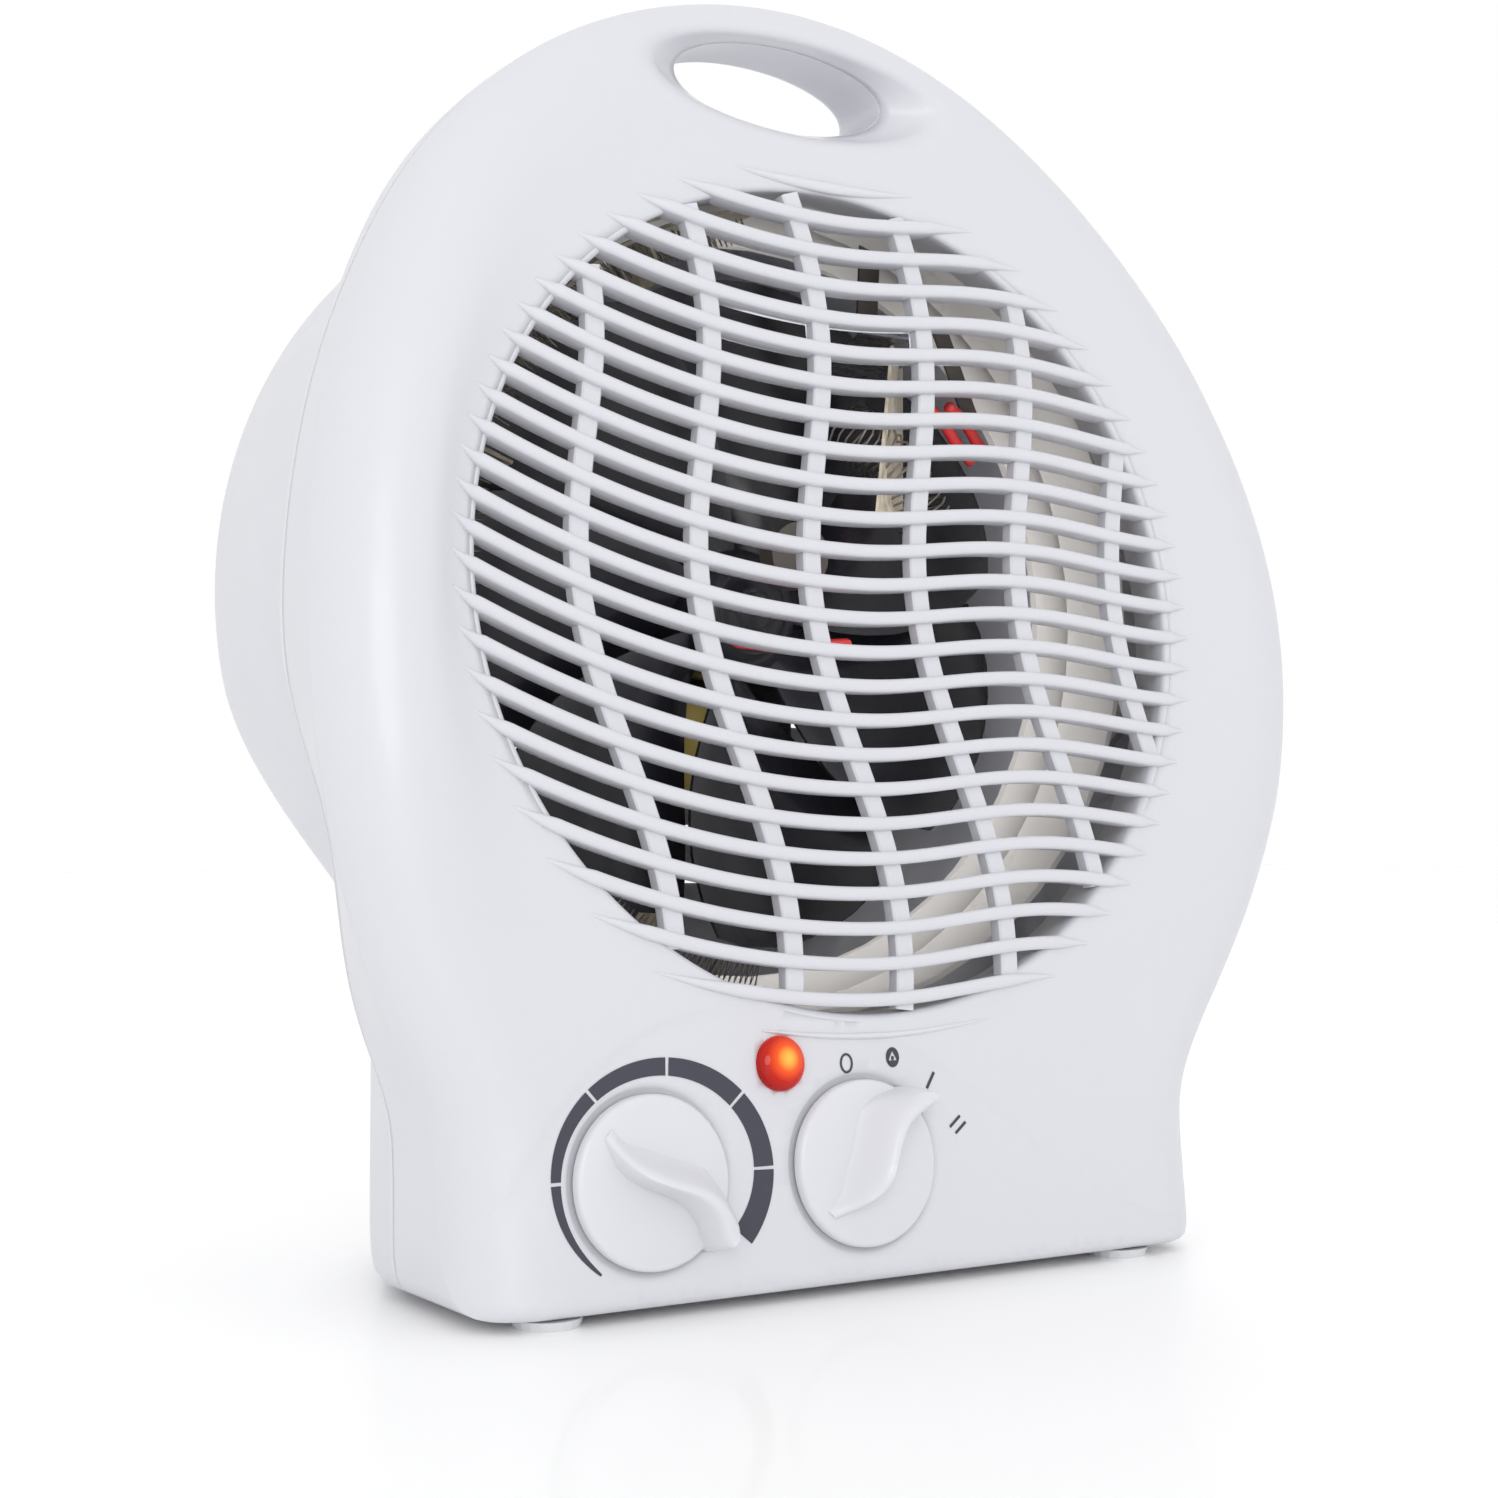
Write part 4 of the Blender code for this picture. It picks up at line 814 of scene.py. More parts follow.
REAR_ROUND = 10.0 * MM
FLANK_ROWS = (
    (1.0 * MM, None, -3.0 * MM),
    (3.0 * MM, None, -0.5 * MM),
    (0.0, 2.0 * MM, 1.5 * MM),
    (0.0, 0.0, 5.0 * MM),
)
SLOT_ROWS = range(-6, 7)
SLOT_PITCH = 9.5 * MM
SLOT_HALF_HEIGHT = 2.2 * MM
SLOT_CIRCLE = 64.0 * MM
SLOT_END_STEPS = 8
CROWN_RADIUS = 70.0 * MM
SLOT_MIDDLE_BAR = 5.0 * MM
SLOT_WIDE_BAR = 29.0 * MM


def rear_path(d):
    """The rear cover's section in one direction, as (radius, depth) from the parting to the crown."""
    reach = d.reach - d.taper
    up = ease(0.35, 0.85, d.up)
    down = ease(0.15, 0.6, -d.up)
    step = mix(FLANGE_DEPTH, HANDLE_DEPTH, up)
    back = mix(REAR_DEPTH, PEDESTAL_DEPTH, down)
    body = rear_reach(d.angle, back)
    front = PARTING + GAP / 2
    knots = [Vector((reach, front + RIM_FLAT))]
    for from_flange, from_drum, at_side in FLANK_ROWS:
        flange = reach - from_flange if from_drum is None else body + from_drum
        knots.append(Vector((flange, step + at_side)))
    start = back - REAR_ROUND
    knots.append(Vector((rear_reach(d.angle, start), start)))
    flank = smooth_path(knots, 4)
    path = [Vector((reach, front))]
    for i, point in enumerate(flank):
        depth = mix(knots[0].y, start, i / (len(flank) - 1))
        foot = Vector((min(reach, rear_reach(d.angle, depth)), depth))
        path.append(point.lerp(foot, down))
    for turn in range(15, 91, 15):
        inset = REAR_ROUND * (1.0 - math.cos(math.radians(turn)))
        depth = start + REAR_ROUND * math.sin(math.radians(turn))
        path.append(Vector((rear_reach(d.angle, depth) - inset, depth)))
    last = path[-1].copy()
    for share in (0.25, 0.5, 0.75, 1.0):
        depth = mix(last.y, REAR_DEPTH, ease(0.0, 1.0, share))
        path.append(Vector((mix(last.x, CROWN_RADIUS, share), depth)))
    return path


def slot_loops():
    """The intake slots' outlines: two rows of rounded slots, shorter beside the motor's post."""
    loops = []
    for row in SLOT_ROWS:
        z = row * SLOT_PITCH
        far = math.sqrt(SLOT_CIRCLE**2 - z * z) - SLOT_HALF_HEIGHT
        near = (SLOT_MIDDLE_BAR if abs(row) > 1 else SLOT_WIDE_BAR) + SLOT_HALF_HEIGHT
        for side in (1, -1):
            loop = []
            for middle, first in ((far, -0.5), (near, 0.5)):
                for i in range(SLOT_END_STEPS + 1):
                    turn = math.pi * (i / SLOT_END_STEPS + first)
                    across = middle + SLOT_HALF_HEIGHT * math.cos(turn)
                    loop.append((side * across, z + SLOT_HALF_HEIGHT * math.sin(turn)))
            loops.append(loop)
    return loops


def make_rear_shell(material):
    around = [Direction(angle) for angle in directions(inward=19)]
    paths = [rear_path(d) for d in around]
    rings = []
    for i in range(len(paths[0])):
        rings.append([at_grille(p[i].x * d.across, p[i].y, p[i].x * d.up) for d, p in zip(around, paths)])
    bm = bmesh.new()
    add_rings(bm, rings)
    outline = [(p[-1].x * d.across, p[-1].x * d.up) for d, p in zip(around, paths)]
    holes = slot_loops()
    plane = PlaneMesh()
    plane.add_loop(outline)
    for hole in holes:
        plane.add_loop(hole)
    verts, faces = plane.triangles()
    made = [bm.verts.new(at_grille(x, REAR_DEPTH, z)) for x, z in verts]
    for face in faces:
        x = sum(verts[i][0] for i in face) / 3
        z = sum(verts[i][1] for i in face) / 3
        if inside_loop(x, z, outline) and not any(inside_loop(x, z, hole) for hole in holes):
            bm.faces.new([made[i] for i in face])
    loose = [v for v in bm.verts if not v.link_faces]
    bmesh.ops.delete(bm, geom=loose, context="VERTS")
    settle(bm, outward=Vector((0, 1, 0)))
    shell = mesh_object("rear_shell", bm, material)
    solid = shell.modifiers.new("wall", "SOLIDIFY")
    solid.thickness = WALL
    solid.offset = -1.0
    cut_eye(shell)
    sharpen(shell, 50.0)
    even = shell.modifiers.new("even_normals", "WEIGHTED_NORMAL")
    even.keep_sharp = True
    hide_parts("rear_cover")
    bm = bmesh.new()
    rings = []
    front = PARTING + GAP / 2
    for depth, offset in (
        (front, 0.0),
        (HANDLE_DEPTH - 1.0 * MM, 0.0),
        (HANDLE_DEPTH + 0.6 * MM, 0.5 * MM),
        (HANDLE_DEPTH + 1.6 * MM, 1.7 * MM),
        (HANDLE_DEPTH + 1.7 * MM, 2.6 * MM),
        (HANDLE_DEPTH - 0.5 * MM, 2.7 * MM),
        (front, 2.5 * MM),
    ):
        rings.append([at_grille(x, depth, z) for x, z in eye_ring(PARTING + GAP, offset)])
    rings.append(rings[0])
    add_rings(bm, rings)
    settle(bm)
    lining = mesh_object("rear_eye_lining", bm, material)
    return shell, sharpen(lining, 50.0)


def cut_eye(shell):
    """Cuts the handle's eye through the rear shell and keeps the result as its mesh."""
    bm = bmesh.new()
    rings = []
    for depth in (PARTING - 5.0 * MM, HANDLE_DEPTH + 3.0 * MM):
        rings.append([at_grille(x, depth, z) for x, z in eye_ring(PARTING + GAP, 1.2 * MM)])
    add_rings(bm, rings, close_first=True, close_last=True)
    bmesh.ops.recalc_face_normals(bm, faces=bm.faces)
    mesh = bpy.data.meshes.new("eye_cutter")
    bm.to_mesh(mesh)
    bm.free()
    cutter = bpy.data.objects.new("eye_cutter", mesh)
    bpy.context.scene.collection.objects.link(cutter)
    cut = shell.modifiers.new("eye", "BOOLEAN")
    cut.object = cutter
    cut.solver = "EXACT"
    bpy.context.view_layer.update()
    shown = shell.evaluated_get(bpy.context.evaluated_depsgraph_get())
    solid = bpy.data.meshes.new_from_object(shown)
    shell.modifiers.clear()
    shell.data = solid
    bpy.data.objects.remove(cutter)


# The grille.


def wave_of_bars(x):
    if x < 0.0:
        return BAR_LEFT_CURVE * x * x
    return BAR_RIGHT_SWING * (1.0 - math.cos(2.0 * math.pi * x / BAR_RIGHT_WAVE))


def wave_of_ribs(y):
    swing = RIB_SWING * math.cos(2.0 * math.pi * (y - RIB_CREST) / RIB_WAVE)
    return RIB_SHIFT + swing - RIB_SLANT * y


def surface_height(x, y):
    """The front surface's height out of the leaning plane, at a place in face coordinates."""
    z = y * math.cos(LEAN_ANGLE)
    radius = math.hypot(x, z)
    if radius < RIM_RADIUS:
        return 0.0
    return (LEAN * z - Direction(math.atan2(z, x)).depth(radius)) * math.cos(LEAN_ANGLE)


def swept_band(bm, line, sections):
    """A bar along a line in face coordinates, from one (across, height) section per point."""
    rings = []
    for i, ((x, y), section) in enumerate(zip(line, sections)):
        ax, ay = line[max(i - 1, 0)]
        bx, by = line[min(i + 1, len(line) - 1)]
        along = Vector((bx - ax, by - ay)).normalized()
        rings.append([on_face(x - along.y * u, y + along.x * u, h) for u, h in section])
    add_rings(bm, rings, close_first=True, close_last=True)


def bar_section(x, y):
    """A bar's section: a rounded front, sinking to a point where it runs out on the rim."""
    radius = math.hypot(x, y)
    over = min(1.0, max(0.0, (radius - GRILLE_RADIUS) / BAR_RUN_OUT))
    left = 1.0 - over
    half = BAR_WIDTH / 2 * (0.15 + 0.85 * left)
    base = surface_height(x, y)
    crest = base + BAR_PROUD * left**1.2 - 0.05 * MM * over
    low = mix(-BAR_DEPTH, base - 0.6 * MM, ease(0.0, 0.25, over))
    rounding = min(0.95 * MM, 0.9 * (crest - low))
    section = [(half * 0.8, low)]
    for i in range(9):
        turn = math.pi * i / 8
        section.append((half * math.cos(turn), crest - rounding + rounding * math.sin(turn)))
    section.append((-half * 0.8, low))
    return section


def runs_within(line, limit):
    runs = []
    before = False
    for x, y in line:
        inside = math.hypot(x, y) < limit
        if inside and not before:
            runs.append([])
        if inside:
            runs[-1].append((x, y))
        before = inside
    return [run for run in runs if len(run) > 4]


def make_grille(material):
    bm = bmesh.new()
    limit = GRILLE_RADIUS + BAR_RUN_OUT
    steps = [-limit + 1.2 * MM * i for i in range(int(2 * limit / (1.2 * MM)) + 1)]
    for number in BAR_NUMBERS:
        line = [(x, BAR_PHASE + number * BAR_PITCH + wave_of_bars(x)) for x in steps]
        for run in runs_within(line, limit - 0.2 * MM):
            swept_band(bm, run, [bar_section(x, y) for x, y in run])
    bmesh.ops.recalc_face_normals(bm, faces=bm.faces)
    bars = sharpen(mesh_object("grille_bars", bm, material), 60.0)
    bm = bmesh.new()
    half = RIB_WIDTH / 2
    soft = 0.35 * MM
    top = -0.35 * MM
    low = -3.2 * MM
    right = [(half, low), (half, top - soft), (half - soft, top)]
    section = right + [(-x, y) for x, y in reversed(right)]
    for number in RIB_NUMBERS:
        line = [(RIB_PHASE + number * RIB_PITCH + wave_of_ribs(y), y) for y in steps]
        for run in runs_within(line, RIM_RADIUS - 0.6 * MM):
            swept_band(bm, run, [section] * len(run))
    bmesh.ops.recalc_face_normals(bm, faces=bm.faces)
    ribs = sharpen(mesh_object("grille_ribs", bm, material))
    return bars, ribs


# The dials.


def grip_section(share):
    """The grip at a place along it: (across, height) points, broad and soft on one side."""
    height = 8.0 * MM * ease(-0.08, 0.4, share) * (1.0 - 0.12 * ease(0.75, 1.0, share))
    bow = GRIP_BOW * math.sin(2.0 * math.pi * share)
    broad = mix(mix(2.5, 7.5, ease(0.0, 0.35, share)), 3.6, ease(0.5, 0.95, share)) * MM
    steep = mix(0.9, 3.4, ease(0.35, 1.0, share)) * MM
    top = DIAL_PROUD
    points = [(bow - broad, DIAL_UNDERSIDE if share > 0.9 else top - 0.8 * MM)]
    for i in range(13):
        u = 1.0 - i / 12
        soft = 0.5 + 0.5 * math.cos(math.pi * u)
        firm = math.sqrt(1.0 - u**2.6)
        lift = mix(soft, firm, ease(0.55, 1.0, share))
        points.append((bow - broad * u, top - 0.1 * MM + height * lift))
    for i in range(1, 13):
        u = i / 12
        lift = 1.0 - u ** mix(2.6, 3.2, share)
        points.append((bow + steep * u, top - 0.1 * MM + height * lift))
    points.append((bow + steep, DIAL_UNDERSIDE if share > 0.9 else top - 0.8 * MM))
    return points


GRIP_TIP = 17.0 * MM
GRIP_TAIL = 13.2 * MM
GRIP_BOW = 2.4 * MM
DIAL_PROUD = 1.6 * MM
DIAL_UNDERSIDE = -0.6 * MM


def dial_matrix(place, angle):
    turn = Matrix.Rotation(-math.radians(angle), 4, "Z")
    return FACE_MATRIX @ Matrix.Translation(Vector((place.x, place.y, 0.0))) @ turn


def make_dial(name, place, angle, material):
    matrix = dial_matrix(place, angle)
    edge = DIAL_RADIUS
    profile = [
        (0.0, DIAL_PROUD + 0.5 * MM),
        (edge * 0.35, DIAL_PROUD + 0.42 * MM),
        (edge * 0.7, DIAL_PROUD + 0.2 * MM),
        (edge - 0.9 * MM, DIAL_PROUD - 0.05 * MM),
        (edge - 0.35 * MM, DIAL_PROUD - 0.3 * MM),
        (edge - 0.05 * MM, DIAL_PROUD - 0.8 * MM),
        (edge, DIAL_UNDERSIDE),
        (4.2 * MM, DIAL_UNDERSIDE),
        (4.2 * MM, -5.5 * MM),
        (0.0, -5.5 * MM),
    ]
    disc = turned(name + "_disc", profile, matrix, material, name, 96)
    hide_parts(name)
    bm = bmesh.new()
    rings = []
    for i in range(49):
        share = i / 48
        along = mix(-GRIP_TAIL, GRIP_TIP, share)
        shrink = 1.0 if share < 0.94 else 1.0 - 0.35 * ((share - 0.94) / 0.06) ** 2
        section = grip_section(share)
        middle = GRIP_BOW * math.sin(2.0 * math.pi * share)
        rings.append([matrix @ Vector((middle + (u - middle) * shrink, along, h)) for u, h in section])
    add_rings(bm, rings, close_first=True, close_last=True)
    bmesh.ops.recalc_face_normals(bm, faces=bm.faces)
    grip = mesh_object(name + "_grip", bm, material, name)
    sharpen(grip, 50.0)
    return disc, grip


MARK_ROOT = 0.25 * MM
MARK_HEIGHT = 0.12 * MM


def flat_mark(name, loops, material, height=MARK_HEIGHT):
    """Thin raised marks on the face, from closed outlines in face coordinates."""
    bm = bmesh.new()
    for outer, inner in loops:
        low = -MARK_ROOT
        rows = [
            [on_face(x, y, surface_lift(x, y) + low) for x, y in outer],
            [on_face(x, y, surface_lift(x, y) + height) for x, y in outer],
        ]
        if inner:
            rows.append([on_face(x, y, surface_lift(x, y) + height) for x, y in inner])
            rows.append([on_face(x, y, surface_lift(x, y) + low) for x, y in inner])
            add_rings(bm, rows + [rows[0]])
        else:
            add_rings(bm, rows, close_first=True, close_last=True)
    settle(bm)
    return sharpen(mesh_object(name, bm, material), 30.0)


def surface_lift(x, y):
    """The surface's height out of the leaning plane, recesses and crease included."""
    z = y * math.cos(LEAN_ANGLE)
    return (LEAN * z - surface_depth(x, z)) * math.cos(LEAN_ANGLE)


def make_gauge(material):
    """The graduated ring: six pieces that grow from a hair's breadth to a broad bar."""
    centre = DIAL_PLACES[0] + GAUGE_SHIFT
    loops = []
    for start, end in zip(GAUGE_STOPS, GAUGE_STOPS[1:]):
        outer = []
        inner = []
        count = max(6, int((end - start) / 3))
        for i in range(count + 1):
            angle = mix(start + GAUGE_GAP, end - GAUGE_GAP, i / count)
            share = (angle - GAUGE_STOPS[0]) / (GAUGE_STOPS[-1] - GAUGE_STOPS[0])
            width = mix(GAUGE_THIN, GAUGE_BROAD, share**0.6)
            way = Vector((math.sin(math.radians(angle)), math.cos(math.radians(angle))))
            for side, inset in ((outer, 0.0), (inner, width)):
                x = centre.x + way.x * (GAUGE_ACROSS - inset)
                side.append((x, centre.y + way.y * (GAUGE_UP - inset)))
        loops.append((outer + inner[::-1], None))
    return quad_marks("thermostat_gauge", loops, material)


def quad_marks(name, loops, material):
    """Bands whose outline is one side followed by the other side backwards."""
    bm = bmesh.new()
    for outline, _ in loops:
        half = len(outline) // 2
        rings = []
        for (ax, ay), (bx, by) in zip(outline[:half], outline[::-1][:half]):
            rings.append([
                on_face(ax, ay, surface_lift(ax, ay) - MARK_ROOT),
                on_face(ax, ay, surface_lift(ax, ay) + MARK_HEIGHT),
                on_face(bx, by, surface_lift(bx, by) + MARK_HEIGHT),
                on_face(bx, by, surface_lift(bx, by) - MARK_ROOT),
            ])
        add_rings(bm, rings, close_first=True, close_last=True)
    bmesh.ops.recalc_face_normals(bm, faces=bm.faces)
    return sharpen(mesh_object(name, bm, material), 30.0)


GAUGE_STOPS = (-143.0, -90.0, -41.0, 4.0, 49.0, 91.0, 132.0)
GAUGE_GAP = 0.9
GAUGE_SHIFT = Vector((3.1, 1.1, 0.0)) * MM
GAUGE_ACROSS = 23.4 * MM
GAUGE_UP = 21.2 * MM
GAUGE_THIN = 0.3 * MM
GAUGE_BROAD = 4.7 * MM


def ellipse(x, y, half_x, half_y, count=32):
    turns = [2.0 * math.pi * i / count for i in range(count)]
    return [(x + half_x * math.cos(t), y + half_y * math.sin(t)) for t in turns]


def triangle_points(x, y, size, steps):
    """Points along the sides of an upright triangle, in step with an ellipse's."""
    turns = [math.radians(angle) for angle in (330, 90, 210)]
    corners = [(x + size * math.cos(turn), y + size * math.sin(turn)) for turn in turns]
    points = []
    for (ax, ay), (bx, by) in zip(corners, corners[1:] + corners[:1]):
        points += [(mix(ax, bx, i / steps), mix(ay, by, i / steps)) for i in range(steps)]
    return points


def stroke(x, y, length, width, angle):
    """A thin upright stroke turned clockwise by an angle."""
    turn = math.radians(angle)
    along = Vector((math.sin(turn), math.cos(turn)))
    across = Vector((along.y, -along.x))
    corners = []
    for a, b in ((-1, -1), (-1, 1), (1, 1), (1, -1)):
        spot = Vector((x, y)) + along * (a * length / 2) + across * (b * width / 2)
        corners.append((spot.x, spot.y))
    return corners


def make_marks(material):
    """A ring, a small fan, one stroke and two strokes, round the function dial."""
    flat = math.cos(LEAN_ANGLE)
    off = (-8.9 * MM, -91.9 * MM / flat)
    blow = (2.1 * MM, -91.3 * MM / flat)
    one = (10.9 * MM, -96.2 * MM / flat)
    two = (17.0 * MM, -105.1 * MM / flat)
    loops = [
        (ellipse(*off, 1.5 * MM, 1.95 * MM), ellipse(*off, 1.05 * MM, 1.5 * MM)),
        (stroke(*one, 3.6 * MM, 0.6 * MM, 33.0), None),
        (stroke(two[0] - 0.75 * MM, two[1] + 0.6 * MM, 3.3 * MM, 0.55 * MM, 52.0), None),
        (stroke(two[0] + 0.55 * MM, two[1] - 0.7 * MM, 3.3 * MM, 0.55 * MM, 52.0), None),
    ]
    loops.append((ellipse(*blow, 1.55 * MM, 1.95 * MM, 30), triangle_points(*blow, 1.25 * MM, 10)))
    loops.append((ellipse(blow[0], blow[1] - 0.15 * MM, 0.32 * MM, 0.42 * MM, 16), None))
    return flat_mark("function_marks", loops, material)


def make_lens(material):
    centre = FACE_MATRIX @ Matrix.Translation(Vector((LAMP_PLACE.x, LAMP_PLACE.y, 0.0)))
    profile = [(LAMP_RADIUS * math.sin(math.radians(t)), 2.7 * MM * math.cos(math.radians(t)) - 0.1 * MM)
               for t in range(0, 91, 9)]
    stem = LAMP_HOLE - 0.3 * MM
    profile += [(LAMP_RADIUS, -0.4 * MM), (stem, -0.4 * MM), (stem, -5.0 * MM),
                (0.0, -5.0 * MM)]
    lens = turned("lamp_dome", profile, centre, material, "housing", 64)
    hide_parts("indicator_lens")
    return lens


# The heater's wires and sheets.


def core(x, z, depth):
    return GRILLE + Vector((x, depth, z))


def zigzag(name, radius, depth, start, end, pitch, swing, material):
    """A thin crimped wire round a circle, swinging in and out and to and fro."""
    count = int(abs(end - start) / 360.0 * 2.0 * math.pi * radius / pitch)
    chance = random.Random(name)
    points = []
    for i in range(count * 2):
        angle = math.radians(mix(start, end, i / (count * 2 - 1)))
        side = 1.0 if i % 2 else -1.0
        r = radius + side * swing * (0.85 + 0.3 * chance.random())
        points.append(core(r * math.cos(angle), r * math.sin(angle), depth + side * 0.3 * swing))
    return tube(name, points, 0.22 * MM, material, sides=5)


def coil_spring(name, radius, depth, size, pitch, wire, material, start, end):
    """A helix of thin wire wound round a circle."""
    length = math.radians(abs(end - start)) * radius
    turns = length / pitch
    count = int(turns * 10)
    points = []
    for i in range(count + 1):
        share = i / count
        angle = math.radians(mix(start, end, share))
        turn = 2.0 * math.pi * turns * share
        r = radius + size * math.cos(turn)
        points.append(core(r * math.cos(angle), r * math.sin(angle), depth + size * math.sin(turn)))
    return tube(name, points, wire, material, sides=5)


# Camera, floor and lights.


def place_camera():
    data = bpy.data.cameras.new("camera")
    data.lens = 55.19
    data.sensor_width = 36.0
    camera = bpy.data.objects.new("camera", data)
    camera.location = GRILLE + Vector((-263.3 * MM, -375.0 * MM, -49.2 * MM))
    camera.rotation_euler = (math.radians(92.30), 0.0, math.radians(-32.46))
    bpy.context.scene.collection.objects.link(camera)
    bpy.context.scene.camera = camera


def area_light(name, location, aim, size, power, glossy=True):
    data = bpy.data.lights.new(name, "AREA")
    data.shape = "DISK"
    data.size = size
    data.energy = power
    light = bpy.data.objects.new(name, data)
    light.visible_glossy = glossy
    light.location = location
    light.rotation_euler = (Vector(aim) - Vector(location)).to_track_quat("-Z", "Y").to_euler()
    bpy.context.scene.collection.objects.link(light)


def make_floor():
    bm = bmesh.new()
    half = 6.0
    bm.faces.new([bm.verts.new((x * half, y * half, 0.0)) for x, y in ((-1, -1), (1, -1), (1, 1), (-1, 1))])
    mesh = bpy.data.meshes.new("floor")
    bm.to_mesh(mesh)
    bm.free()
    floor = bpy.data.objects.new("floor", mesh)
    bpy.context.scene.collection.objects.link(floor)
    material, _, shader = new_material("floor")
    shader.inputs["Base Color"].default_value = (1.0, 1.0, 1.0, 1.0)
    shader.inputs["Roughness"].default_value = 0.5
    shader.inputs["Coat Weight"].default_value = 0.2
    shader.inputs["Coat Roughness"].default_value = 0.06
    mesh.materials.append(material)


def light_scene():
    world = bpy.data.worlds.new("world")
    bpy.context.scene.world = world
    world.use_nodes = True
    back = world.node_tree.nodes["Background"]
    back.inputs["Color"].default_value = (1.0, 1.0, 1.0, 1.0)
    back.inputs["Strength"].default_value = 1.0
    bpy.context.scene.view_settings.view_transform = "Standard"
    area_light("key", (-0.72, -1.2, 0.45), (0.0, 0.0, 0.14), 0.7, 4.2)
    area_light("rear_fill", (0.9, 1.2, 0.9), (0.0, 0.0, 0.14), 0.9, 2.0)
    behind_bars = core(0.0, 0.0, 9.0 * MM)
    area_light("inner_fill", behind_bars, core(0.0, 0.0, 60.0 * MM), 0.12, 0.07, glossy=False)


FAN_BLADES = 7
FAN_RADIUS = 73.6 * MM
HUB_RADIUS = 14.0 * MM
BLADE_DEPTHS = (42.5 * MM, 54.1 * MM)
HUB_RINGS = ((4.0 * MM, 36.2 * MM), (8.4 * MM, 37.2 * MM))


def make_fan(material):
    """Wide twisted blades that nearly hide what is behind them, on a smooth hub."""
    bm = bmesh.new()
    sweep = 2.0 * math.pi / FAN_BLADES * 1.12
    for blade in range(FAN_BLADES):
        start = 2.0 * math.pi * blade / FAN_BLADES + 0.3
        for thick, flip in ((0.0, 1), (1.1 * MM, -1)):
            grid = []
            for i in range(9):
                share = i / 8
                radius = mix(HUB_RADIUS - 1.0 * MM, FAN_RADIUS, share)
                width = sweep * (0.62 + 0.38 * math.sin(math.pi * min(1.0, share * 0.62 + 0.2)))
                row = []
                for j in range(9):
                    along = j / 8
                    angle = start + width * (along - 0.5) + 0.28 * share
                    bend = 1.8 * MM * math.sin(math.pi * along)
                    pitch = along * mix(1.0, 0.72, share) + 0.14 * share
                    depth = mix(BLADE_DEPTHS[0], BLADE_DEPTHS[1], pitch) - bend + thick
                    at = radius - 3.5 * MM * share * abs(2.0 * along - 1.0) ** 3
                    row.append(bm.verts.new(core(at * math.cos(angle), at * math.sin(angle), depth)))
                grid.append(row)
            for one, two in zip(grid, grid[1:]):
                for j in range(8):
                    face = (one[j], one[j + 1], two[j + 1], two[j])
                    bm.faces.new(face if flip > 0 else face[::-1])
            edge = [grid[0][j] for j in range(9)] + [grid[i][8] for i in range(1, 9)]
            edge += [grid[8][j] for j in range(7, -1, -1)] + [grid[i][0] for i in range(7, 0, -1)]
            if thick:
                for k in range(len(edge)):
                    m = (k + 1) % len(edge)
                    bm.faces.new((front[k], front[m], edge[m], edge[k]))
            front = edge
    bmesh.ops.recalc_face_normals(bm, faces=bm.faces)
    blades = mesh_object("fan_blades", bm, material, "fan")
    sharpen(blades, 40.0)
    hub = [(0.0, -36.0 * MM), (5.0 * MM, -36.3 * MM), (9.0 * MM, -37.3 * MM), (12.0 * MM, -39.3 * MM),
           (13.6 * MM, -42.0 * MM), (14.0 * MM, -45.0 * MM), (14.0 * MM, -56.5 * MM), (11.5 * MM, -56.5 * MM),
           (11.5 * MM, -46.0 * MM), (3.2 * MM, -43.5 * MM), (3.2 * MM, -41.0 * MM), (0.0, -41.0 * MM)]
    nose = turned("fan_hub", hub, CORE_MATRIX, material, "fan", 64)
    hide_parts("fan_impeller")
    rings = []
    for i, (r, d) in enumerate(HUB_RINGS):
        bead = [(r, -d), (r + 0.5 * MM, -d + 0.45 * MM), (r + 1.0 * MM, -d)]
        name = f"hub_ring_{i}"
        rings.append(turned(name, bead, CORE_MATRIX, material, "fan", 48, closed=True))
    return blades, nose, rings


def arc_sheet(name, radius, start, end, near, far, material, thick=0.8 * MM):
    """A sheet bent round the heater's inside."""
    bm = bmesh.new()
    count = max(8, int(abs(end - start) / 3))
    rings = []
    for i in range(count + 1):
        angle = math.radians(mix(start, end, i / count))
        ring = []
        for r, depth in ((radius, near), (radius, far), (radius + thick, far), (radius + thick, near)):
            ring.append(core(r * math.cos(angle), r * math.sin(angle), depth))
        rings.append(ring)
    add_rings(bm, rings, close_first=True, close_last=True)
    bmesh.ops.recalc_face_normals(bm, faces=bm.faces)
    return sharpen(mesh_object(name, bm, material), 30.0)


def flat_sheet(name, corners, thick, material):
    """A flat sheet through corners in grille coordinates, in millimetres, thickened both ways."""
    points = [at_grille(*(value * MM for value in corner)) for corner in corners]
    normal = (points[1] - points[0]).cross(points[2] - points[0]).normalized() * thick / 2
    bm = bmesh.new()
    sides = [[p - normal for p in points], [p + normal for p in points]]
    add_rings(bm, sides, close_first=True, close_last=True)
    bmesh.ops.recalc_face_normals(bm, faces=bm.faces)
    return sharpen(mesh_object(name, bm, material), 30.0)


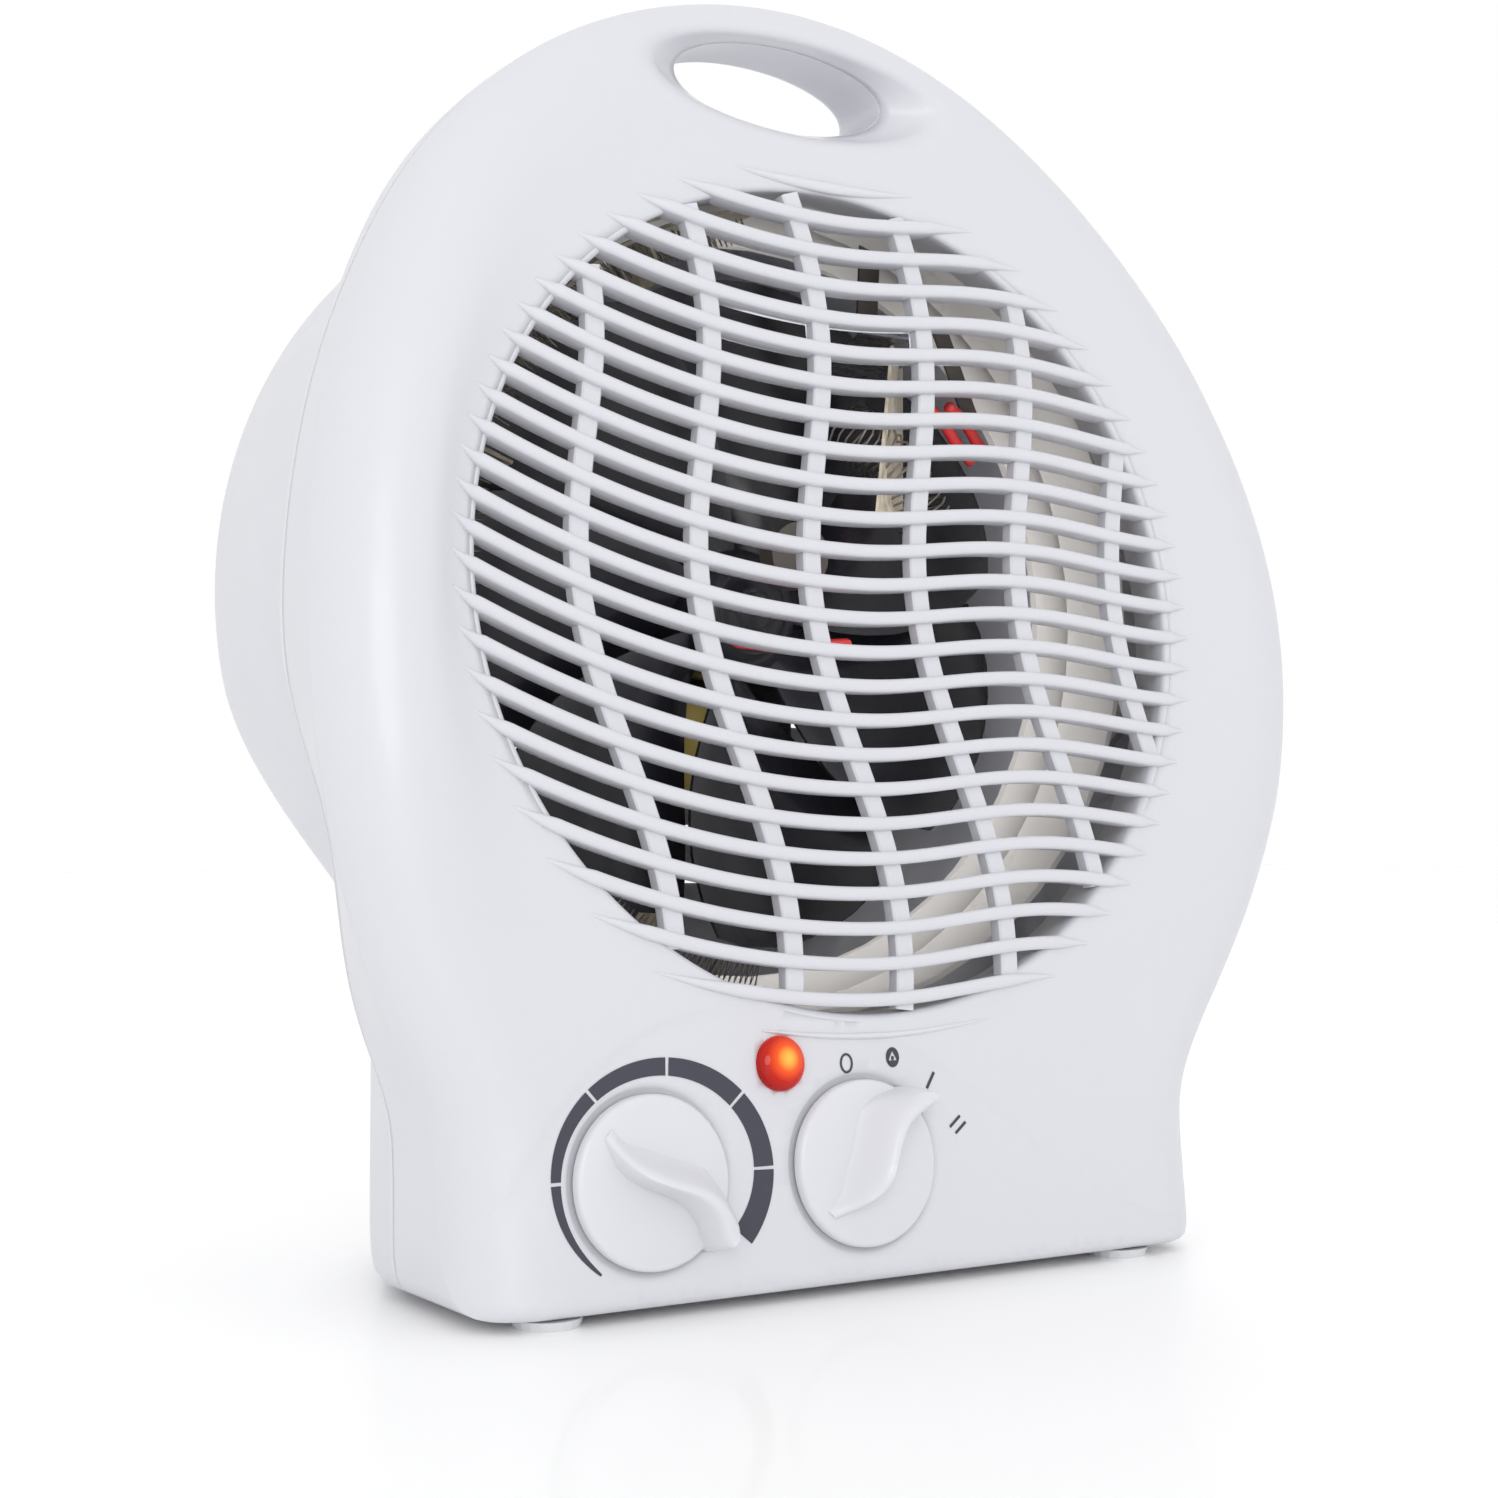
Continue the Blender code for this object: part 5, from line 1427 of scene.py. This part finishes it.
# In degrees anticlockwise from the right, then in millimetres from the grille's centre.
MICA_SPANS = ((98.0, 138.0), (142.0, 180.0), (184.0, 222.0), (226.0, 262.0))
MICA_RIB = ((71.0, 17.5), (80.2, 17.5), (80.2, 31.5), (71.0, 31.5))
BRIDGE = ((14.0, 17.0, 58.0), (31.0, 17.0, 58.0), (31.0, 31.0, 52.0), (14.0, 31.0, 52.0))
INNER_MICA = ((18.0, 17.0, 20.0), (34.0, 30.0, 22.0), (34.0, 30.0, 56.0), (22.0, 17.0, 56.0))
STRIPS = ((13.0, 76.0, 15.0, 60.0), (31.0, 62.0, 43.0, 42.0))
SLEEVES = ((31.0, 44.0, 47.0, 34.0), (37.0, 44.5, 52.0, 35.5))


def make_wires(wire, mica, steel, black, sleeve):
    """Crimped wires and mica round the left of the heater, and the cluster at its upper right."""
    outer = zigzag("wire_outer_front", 77.0 * MM, 18.5 * MM, 100.0, 262.0, 1.25 * MM, 2.6 * MM, wire)
    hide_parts("heating_coil_outer")
    zigzag("wire_outer_middle", 77.5 * MM, 24.0 * MM, 104.0, 258.0, 1.3 * MM, 2.4 * MM, wire)
    zigzag("wire_outer_rear", 77.0 * MM, 29.0 * MM, 108.0, 250.0, 1.3 * MM, 2.4 * MM, wire)
    inner = coil_spring("coil_inner", 42.0 * MM, 25.0 * MM, 6.0 * MM, 1.9 * MM, 0.28 * MM, wire, 28.0, 68.0)
    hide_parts("heating_coil_inner")
    for i, (start, end) in enumerate(MICA_SPANS, 1):
        sheet = arc_sheet(f"mica_panel_{i}", 80.4 * MM, start, end, 16.5 * MM, 32.0 * MM, mica)
        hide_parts(f"mica_support_{i}")
        middle = math.radians((start + end) / 2)
        rib = [(r * math.cos(middle), depth, r * math.sin(middle)) for r, depth in MICA_RIB]
        flat_sheet(f"mica_rib_{i}", rib, 0.7 * MM, mica)
    flat_sheet("bridge_upper", BRIDGE, 0.8 * MM, steel)
    flat_sheet("mica_inner", INNER_MICA, 0.7 * MM, mica)
    for i, (x, z, end_x, end_z) in enumerate(STRIPS):
        near = ((x, 16.0, z), (x + 5.0, 16.0, z - 1.5))
        far = ((end_x + 5.0, 20.0, end_z), (end_x, 20.0, end_z + 1.5))
        flat_sheet(f"strip_{i}", near + far, 0.8 * MM, black)
    for i, (x, z, end_x, end_z) in enumerate(SLEEVES):
        run = []
        for t in (0.0, 0.35, 0.7, 1.0):
            run.append(core(mix(x, end_x, t) * MM, mix(z, end_z, t) * MM, (17.0 + 5.0 * t) * MM))
        run[1].z += 1.0 * MM
        tube(f"sleeve_{i}", smooth_path(run, 6), 1.25 * MM, sleeve, sides=12)


def slots_of_record():
    """Which material slot each CAD node takes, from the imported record."""
    return {entry["node"]: entry["material_slot"] for entry in frame["record"]["subparts"]}


SLOT_OF = slots_of_record()


def main():
    white = white_plastic("white")
    knob = white_plastic("knob_white", (0.68, 0.685, 0.72))
    ink = moulded("ink", (0.035, 0.036, 0.055), 0.5, grain=2500.0, depth=0.01 * MM, tone=0.3)
    black = moulded("black_plastic", (0.008, 0.008, 0.011), 0.22, tone=0.3)
    wire = brushed("resistance_wire", (0.5, 0.46, 0.42), 0.35)
    make_front_shell(white)
    make_rear_shell(white)
    make_grille(white)
    make_dial("thermostat_knob", DIAL_PLACES[0], THERMOSTAT_TURN, knob)
    make_dial("function_knob", DIAL_PLACES[1], FUNCTION_TURN, knob)
    make_gauge(ink)
    make_marks(ink)
    lens_centre = on_face(LAMP_PLACE.x + 0.3 * MM, LAMP_PLACE.y + 0.8 * MM, 1.5 * MM)
    make_lens(glowing_lens("red_lens", lens_centre))
    slots = {
        "white_plastic": white,
        "knob_plastic": knob,
        "pale_rubber": moulded("pale_rubber", (0.62, 0.63, 0.65), 0.6, tone=0.06),
        "zinc_steel": brushed("zinc_steel", (0.62, 0.63, 0.65), 0.3),
        "cream_plastic": moulded("cream_plastic", (0.72, 0.68, 0.56), 0.45),
        "lamp_glass": moulded("lamp_glass", (0.7, 0.35, 0.2), 0.15, tone=0.1),
        "frame_steel": moulded("frame_steel", (0.82, 0.79, 0.76), 0.3, tone=0.08, coat=0.25),
        "beige_plastic": moulded("beige_plastic", (0.84, 0.81, 0.78), 0.42, tone=0.08),
        "mica": mica_sheet("mica"),
        "resistance_wire": wire,
        "bakelite": moulded("bakelite", (0.03, 0.024, 0.02), 0.35, tone=0.2),
        "red_sleeve": moulded("red_sleeve", (0.32, 0.01, 0.012), 0.4, tone=0.15),
        "black_plastic": black,
        "laminations": brushed("laminations", (0.35, 0.34, 0.33), 0.4, (40.0, 1.0, 1.0)),
        "winding_tape": moulded("winding_tape", (0.65, 0.5, 0.16), 0.5, tone=0.15),
        "bronze": brushed("bronze", (0.55, 0.36, 0.18), 0.35),
    }
    for node, thing in NODES.items():
        name = SLOT_OF.get(node)
        if name in slots:
            thing.data.materials.clear()
            thing.data.materials.append(slots[name])
    make_wires(wire, slots["mica"], slots["zinc_steel"], slots["bakelite"], slots["red_sleeve"])
    make_fan(black)
    make_floor()
    light_scene()


place_camera()
main()
